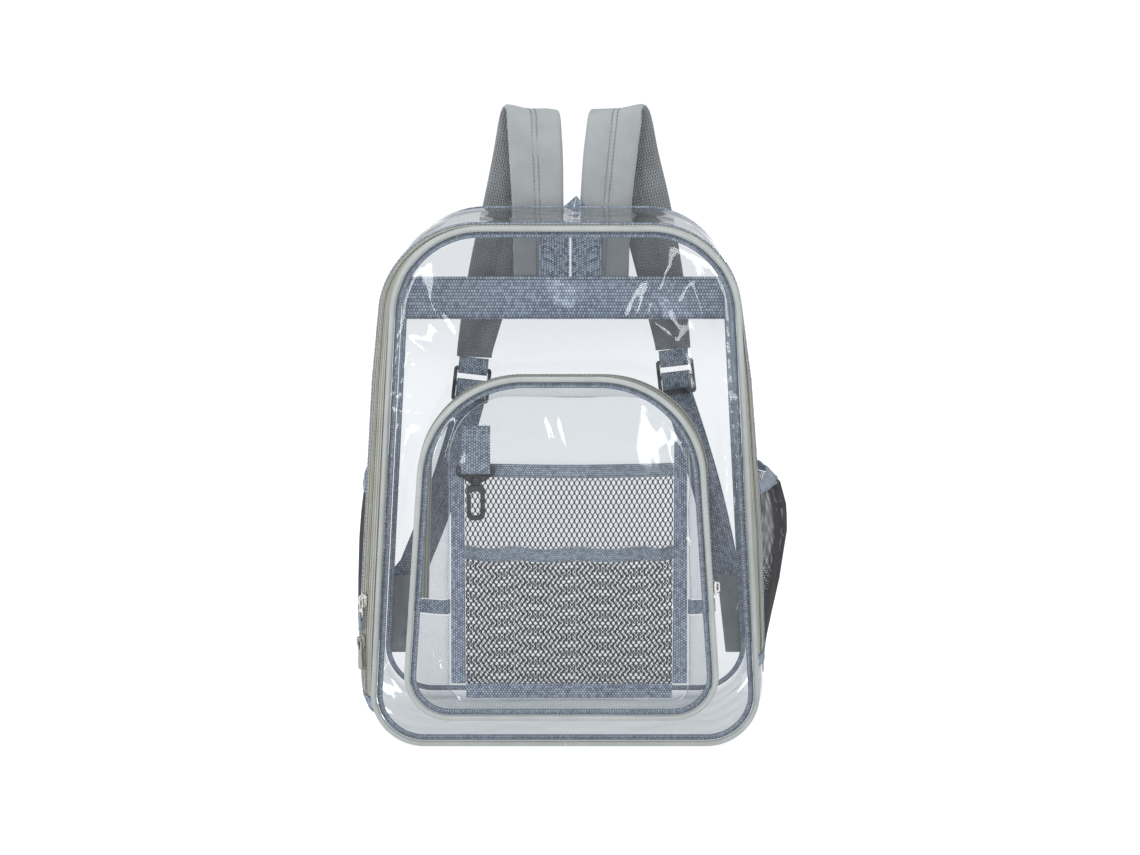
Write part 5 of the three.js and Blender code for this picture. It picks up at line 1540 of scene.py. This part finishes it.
def make_strap_knit():
    """Darker knitted spacer mesh in fine wavy ribs, with rows of small holes. The holes and the grooves
    between the ribs are painted dark after the relief: painted shade.
    """
    knit = Finish("strap_knit")
    cloth = knit.attribute("cloth")
    wave = cloth[0].waves(5 * mm) * (0.6 * mm)
    ribs = (cloth[1] + wave).waves(2.4 * mm)
    rungs = (cloth[0] * (2 * math.pi / (2.6 * mm)) + ribs).to("SINE")
    worn = knit.noise(45.0, 3.0)
    relief = ribs * 0.6 + rungs * 0.4
    # Painted shade: relief makes the holes and grooves dark and the ribs paler; worn is random tone.
    tone = relief * 0.32 + 0.42 + (worn - 0.5) * 0.4
    colour = knit.mixed(tone.held(), (0.07, 0.075, 0.08), (0.36, 0.375, 0.385))
    return knit.solid(Base_Color=colour, Roughness=0.9, Normal=knit.bump(relief, 0.7 * mm, 0.8))


strap_face = make_strap_face()
strap_knit = make_strap_knit()
grey_thread = make_thread("grey_thread", (0.2, 0.215, 0.225))

for side, mirror in (("left", -1), ("right", 1)):
    table_rows = strap_stations(side, mirror)
    stations, travelled = flowing(table_rows, 4 * mm)
    frames = strap_frames(stations)
    rows = padded_rows(frames, travelled, 30 + mirror)
    mesh = loft(f"strap_{side}", rows, sharp=60)
    mesh.materials.append(strap_face.material)
    mesh.materials.append(strap_knit.material)
    below = len(strap_section) - 1
    for polygon in mesh.polygons:
        polygon.material_index = int(polygon.index % len(rows[0]) >= below and len(polygon.vertices) == 4)
    padded = add(f"strap_{side}", mesh, strap_face, "padding", f"shoulder_strap_{side}")
    lines = []
    for share in (-0.09, 0.09):
        for level in (1, -1):
            lines.append([(p + across_it * share * width / 2 + face * level * (0.8 * thickness / 2 + 0.5 * mm),
                           face * level) for p, across_it, face, width, thickness in frames[1:-1]])
    for start in (0.34, 0.955, 0.975):  # rows across the underside, as shares of the strap's length
        lines.append([])
        for k in range(15):
            share = -0.8 + 1.6 * k / 14
            i = min(round((start + 0.02 * (1 - share * share)) * (len(frames) - 1)), len(frames) - 1)
            p, across_it, face, width, thickness = frames[i]
            under = p + across_it * share * width / 2 - face * (thickness / 2 + 0.15 * mm)
            lines[-1].append((under, -face))
    stitched(f"strap_stitches_{side}", lines, 3.4, (2.6, 0.75, 0.55), grey_thread, "padding")

# Ladder locks and strap webbing: a black buckle hangs in a fold of webbing from the end of each strap. The
# lower webbing comes through it and runs down to a tab of strap cloth in the bottom corner of the back.
buckle_width = 32 * mm
buckle_length = 30 * mm
buckle_wall = 4 * mm
buckle_bar = 3.4 * mm
buckle_drop = 9 * mm
tab_middle = 140 * mm
tab_top = 104 * mm
tab_low = 36 * mm
tab_overlap = 14 * mm


def bent_rows(stations, width, thickness):
    """Rows of a flat band through (point, facing) stations."""
    section = [(t * 2 - 1, level * 2 - 1) for t, level in band_section]
    made = []
    for i, (p, face) in enumerate(stations):
        run = (stations[min(i + 1, len(stations) - 1)][0] - stations[max(i - 1, 0)][0]).normalized()
        face = (face - run * face.dot(run)).normalized()
        beside = run.cross(face)
        made.append([p + beside * share * width / 2 + face * level * thickness / 2 for share, level in section])
    return made


for side, mirror, bow in (("left", -1, -4 * mm), ("right", 1, 4 * mm)):
    table_rows = strap_stations(side, mirror)
    end = Vector(table_rows[-1][:3])
    up = (Vector(table_rows[-2][:3]) - end).normalized()
    across_it = Vector((0, 1, 0)).cross(up).normalized()
    backward = up.cross(across_it)
    frame_matrix = Matrix.Translation(end) @ Matrix((across_it, backward, up)).transposed().to_4x4()
    facing_front = Matrix.Rotation(math.pi / 2, 4, "X")
    high = -buckle_drop
    low = high - buckle_length
    bars = [high, (high + low + buckle_bar) / 2, low + buckle_bar]
    slot_half = buckle_width / 2 - buckle_bar + gap
    shape = rounded_box(-buckle_width / 2, buckle_width / 2, low, high, 3 * mm)
    holes = [rounded_box(-slot_half, slot_half, bars[i + 1], bars[i] - buckle_bar, 0.5 * mm) for i in (0, 1)]
    buckle = cast(f"buckle_{side}", [shape, *holes], buckle_wall, 0.9 * mm, frame_matrix @ facing_front)
    add(f"buckle_{side}", buckle, black_plastic, "plastic", f"ladder_lock_{side}")

    turn = math.hypot(buckle_bar, buckle_wall) / 2 + gap + webbing_wall / 2
    top_bar = high - buckle_bar / 2
    layer_offset = (webbing_wall + gap) / 2
    path = [(0, -3 * gap), (-turn, top_bar + turn), *turn_about(0, top_bar, turn, 180, 360, 14),
            (turn, top_bar + turn), (2 * layer_offset, -3 * webbing_wall)]
    rows = folded_rows(finely(path, 1.5 * mm), strap_webbing_width, frame_matrix, webbing_wall)
    strip(f"strap_web_{side}", rows, webbing, "webbing", f"strap_webbing_{side}")

    middle_bar = bars[1] - buckle_bar / 2
    run_back = buckle_wall / 2 + gap + webbing_wall / 2
    foot = Vector((mirror * tab_middle, band_y + webbing_wall + gap + webbing_wall / 2, tab_top - tab_overlap))
    turned_part = turn_about(0, middle_bar, turn, 20, 180, 12)
    stations = [(frame_matrix @ Vector((0, y, z)),
                 frame_matrix.to_3x3() @ Vector((0, y, z - middle_bar)).normalized()) for y, z in turned_part]
    faces_front = frame_matrix.to_3x3() @ Vector((0, -1, 0))
    leaving = [(-turn, middle_bar - webbing_wall), (0, bars[2] + buckle_bar), (run_back, low + buckle_bar),
               (run_back, low - webbing_wall)]
    stations += [(frame_matrix @ Vector((0, y, z)), faces_front) for y, z in leaving]
    start = stations[-1][0]
    for share in across(0, 1, 24)[1:-3]:
        p = start.lerp(foot, share)
        p.x += mirror * bow * math.sin(math.pi * share)
        stations.append((p, Vector((0, -1, 0))))
    stations.append((foot + Vector((-mirror * tab_overlap * 0.2, 0, tab_overlap)), Vector((0, -1, 0))))
    stations.append((foot, Vector((0, -1, 0))))
    rows = bent_rows(stations, strap_webbing_width, webbing_wall)
    strip(f"lower_web_{side}", rows, webbing, "webbing", f"lower_webbing_{side}")

    rows = []
    for share in across(0, 1, 20):
        outer = side_at(tab_low) + (tab_middle + 10 * mm - side_at(tab_low)) * share
        inner = outer - (15 + 5 * share) * mm
        z = tab_low + (tab_top - tab_low) * share
        rows.append([(mirror * inner, z), (mirror * outer, z)])
    flat_band(f"anchor_patch_{side}", rows, band_y, webbing_wall, strap_face, f"anchor_tab_{side}",
              slot="padding", rear=True)
    boxes = [[(x - mirror * tab_overlap * 0.2 * share, share) for share in across(0.1, 0.9, 4)]
             for x in (-9 * mm, 9 * mm)]
    boxes += [[(x, share) for x in across(-9 * mm, 9 * mm, 6)] for share in (0.1, 0.9)]
    lines = [[(foot + Vector((x, webbing_wall / 2, tab_overlap * share)), Vector((0, 1, 0))) for x, share in box]
             for box in boxes]
    stitched(f"anchor_stitches_{side}", lines, 2.6, (2, 0.6, 0.5), pale_thread)

# Studio floor: a wide pale sheet that runs on under the bag and behind it.


def make_floor():
    paper = Finish("floor_paper")
    colour = paper.mixed(paper.noise(30.0, 4.0), (0.29, 0.292, 0.295), (0.31, 0.312, 0.315))
    return paper.solid(
        Base_Color=colour, Roughness=0.9, Emission_Color=(0.97, 0.98, 1, 1), Emission_Strength=0.82)


floor_half = 40.0
floor_mesh = bpy.data.meshes.new("studio_floor")
floor_mesh.from_pydata([(x * floor_half, y * floor_half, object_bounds()[0][2] - 0.2 * mm)
                        for x, y in ((-1, -1), (1, -1), (1, 1), (-1, 1))], [], [(0, 1, 2, 3)])
floor_mesh.materials.append(make_floor().material)
floor = bpy.data.objects.new("studio_floor", floor_mesh)
scene.collection.objects.link(floor)
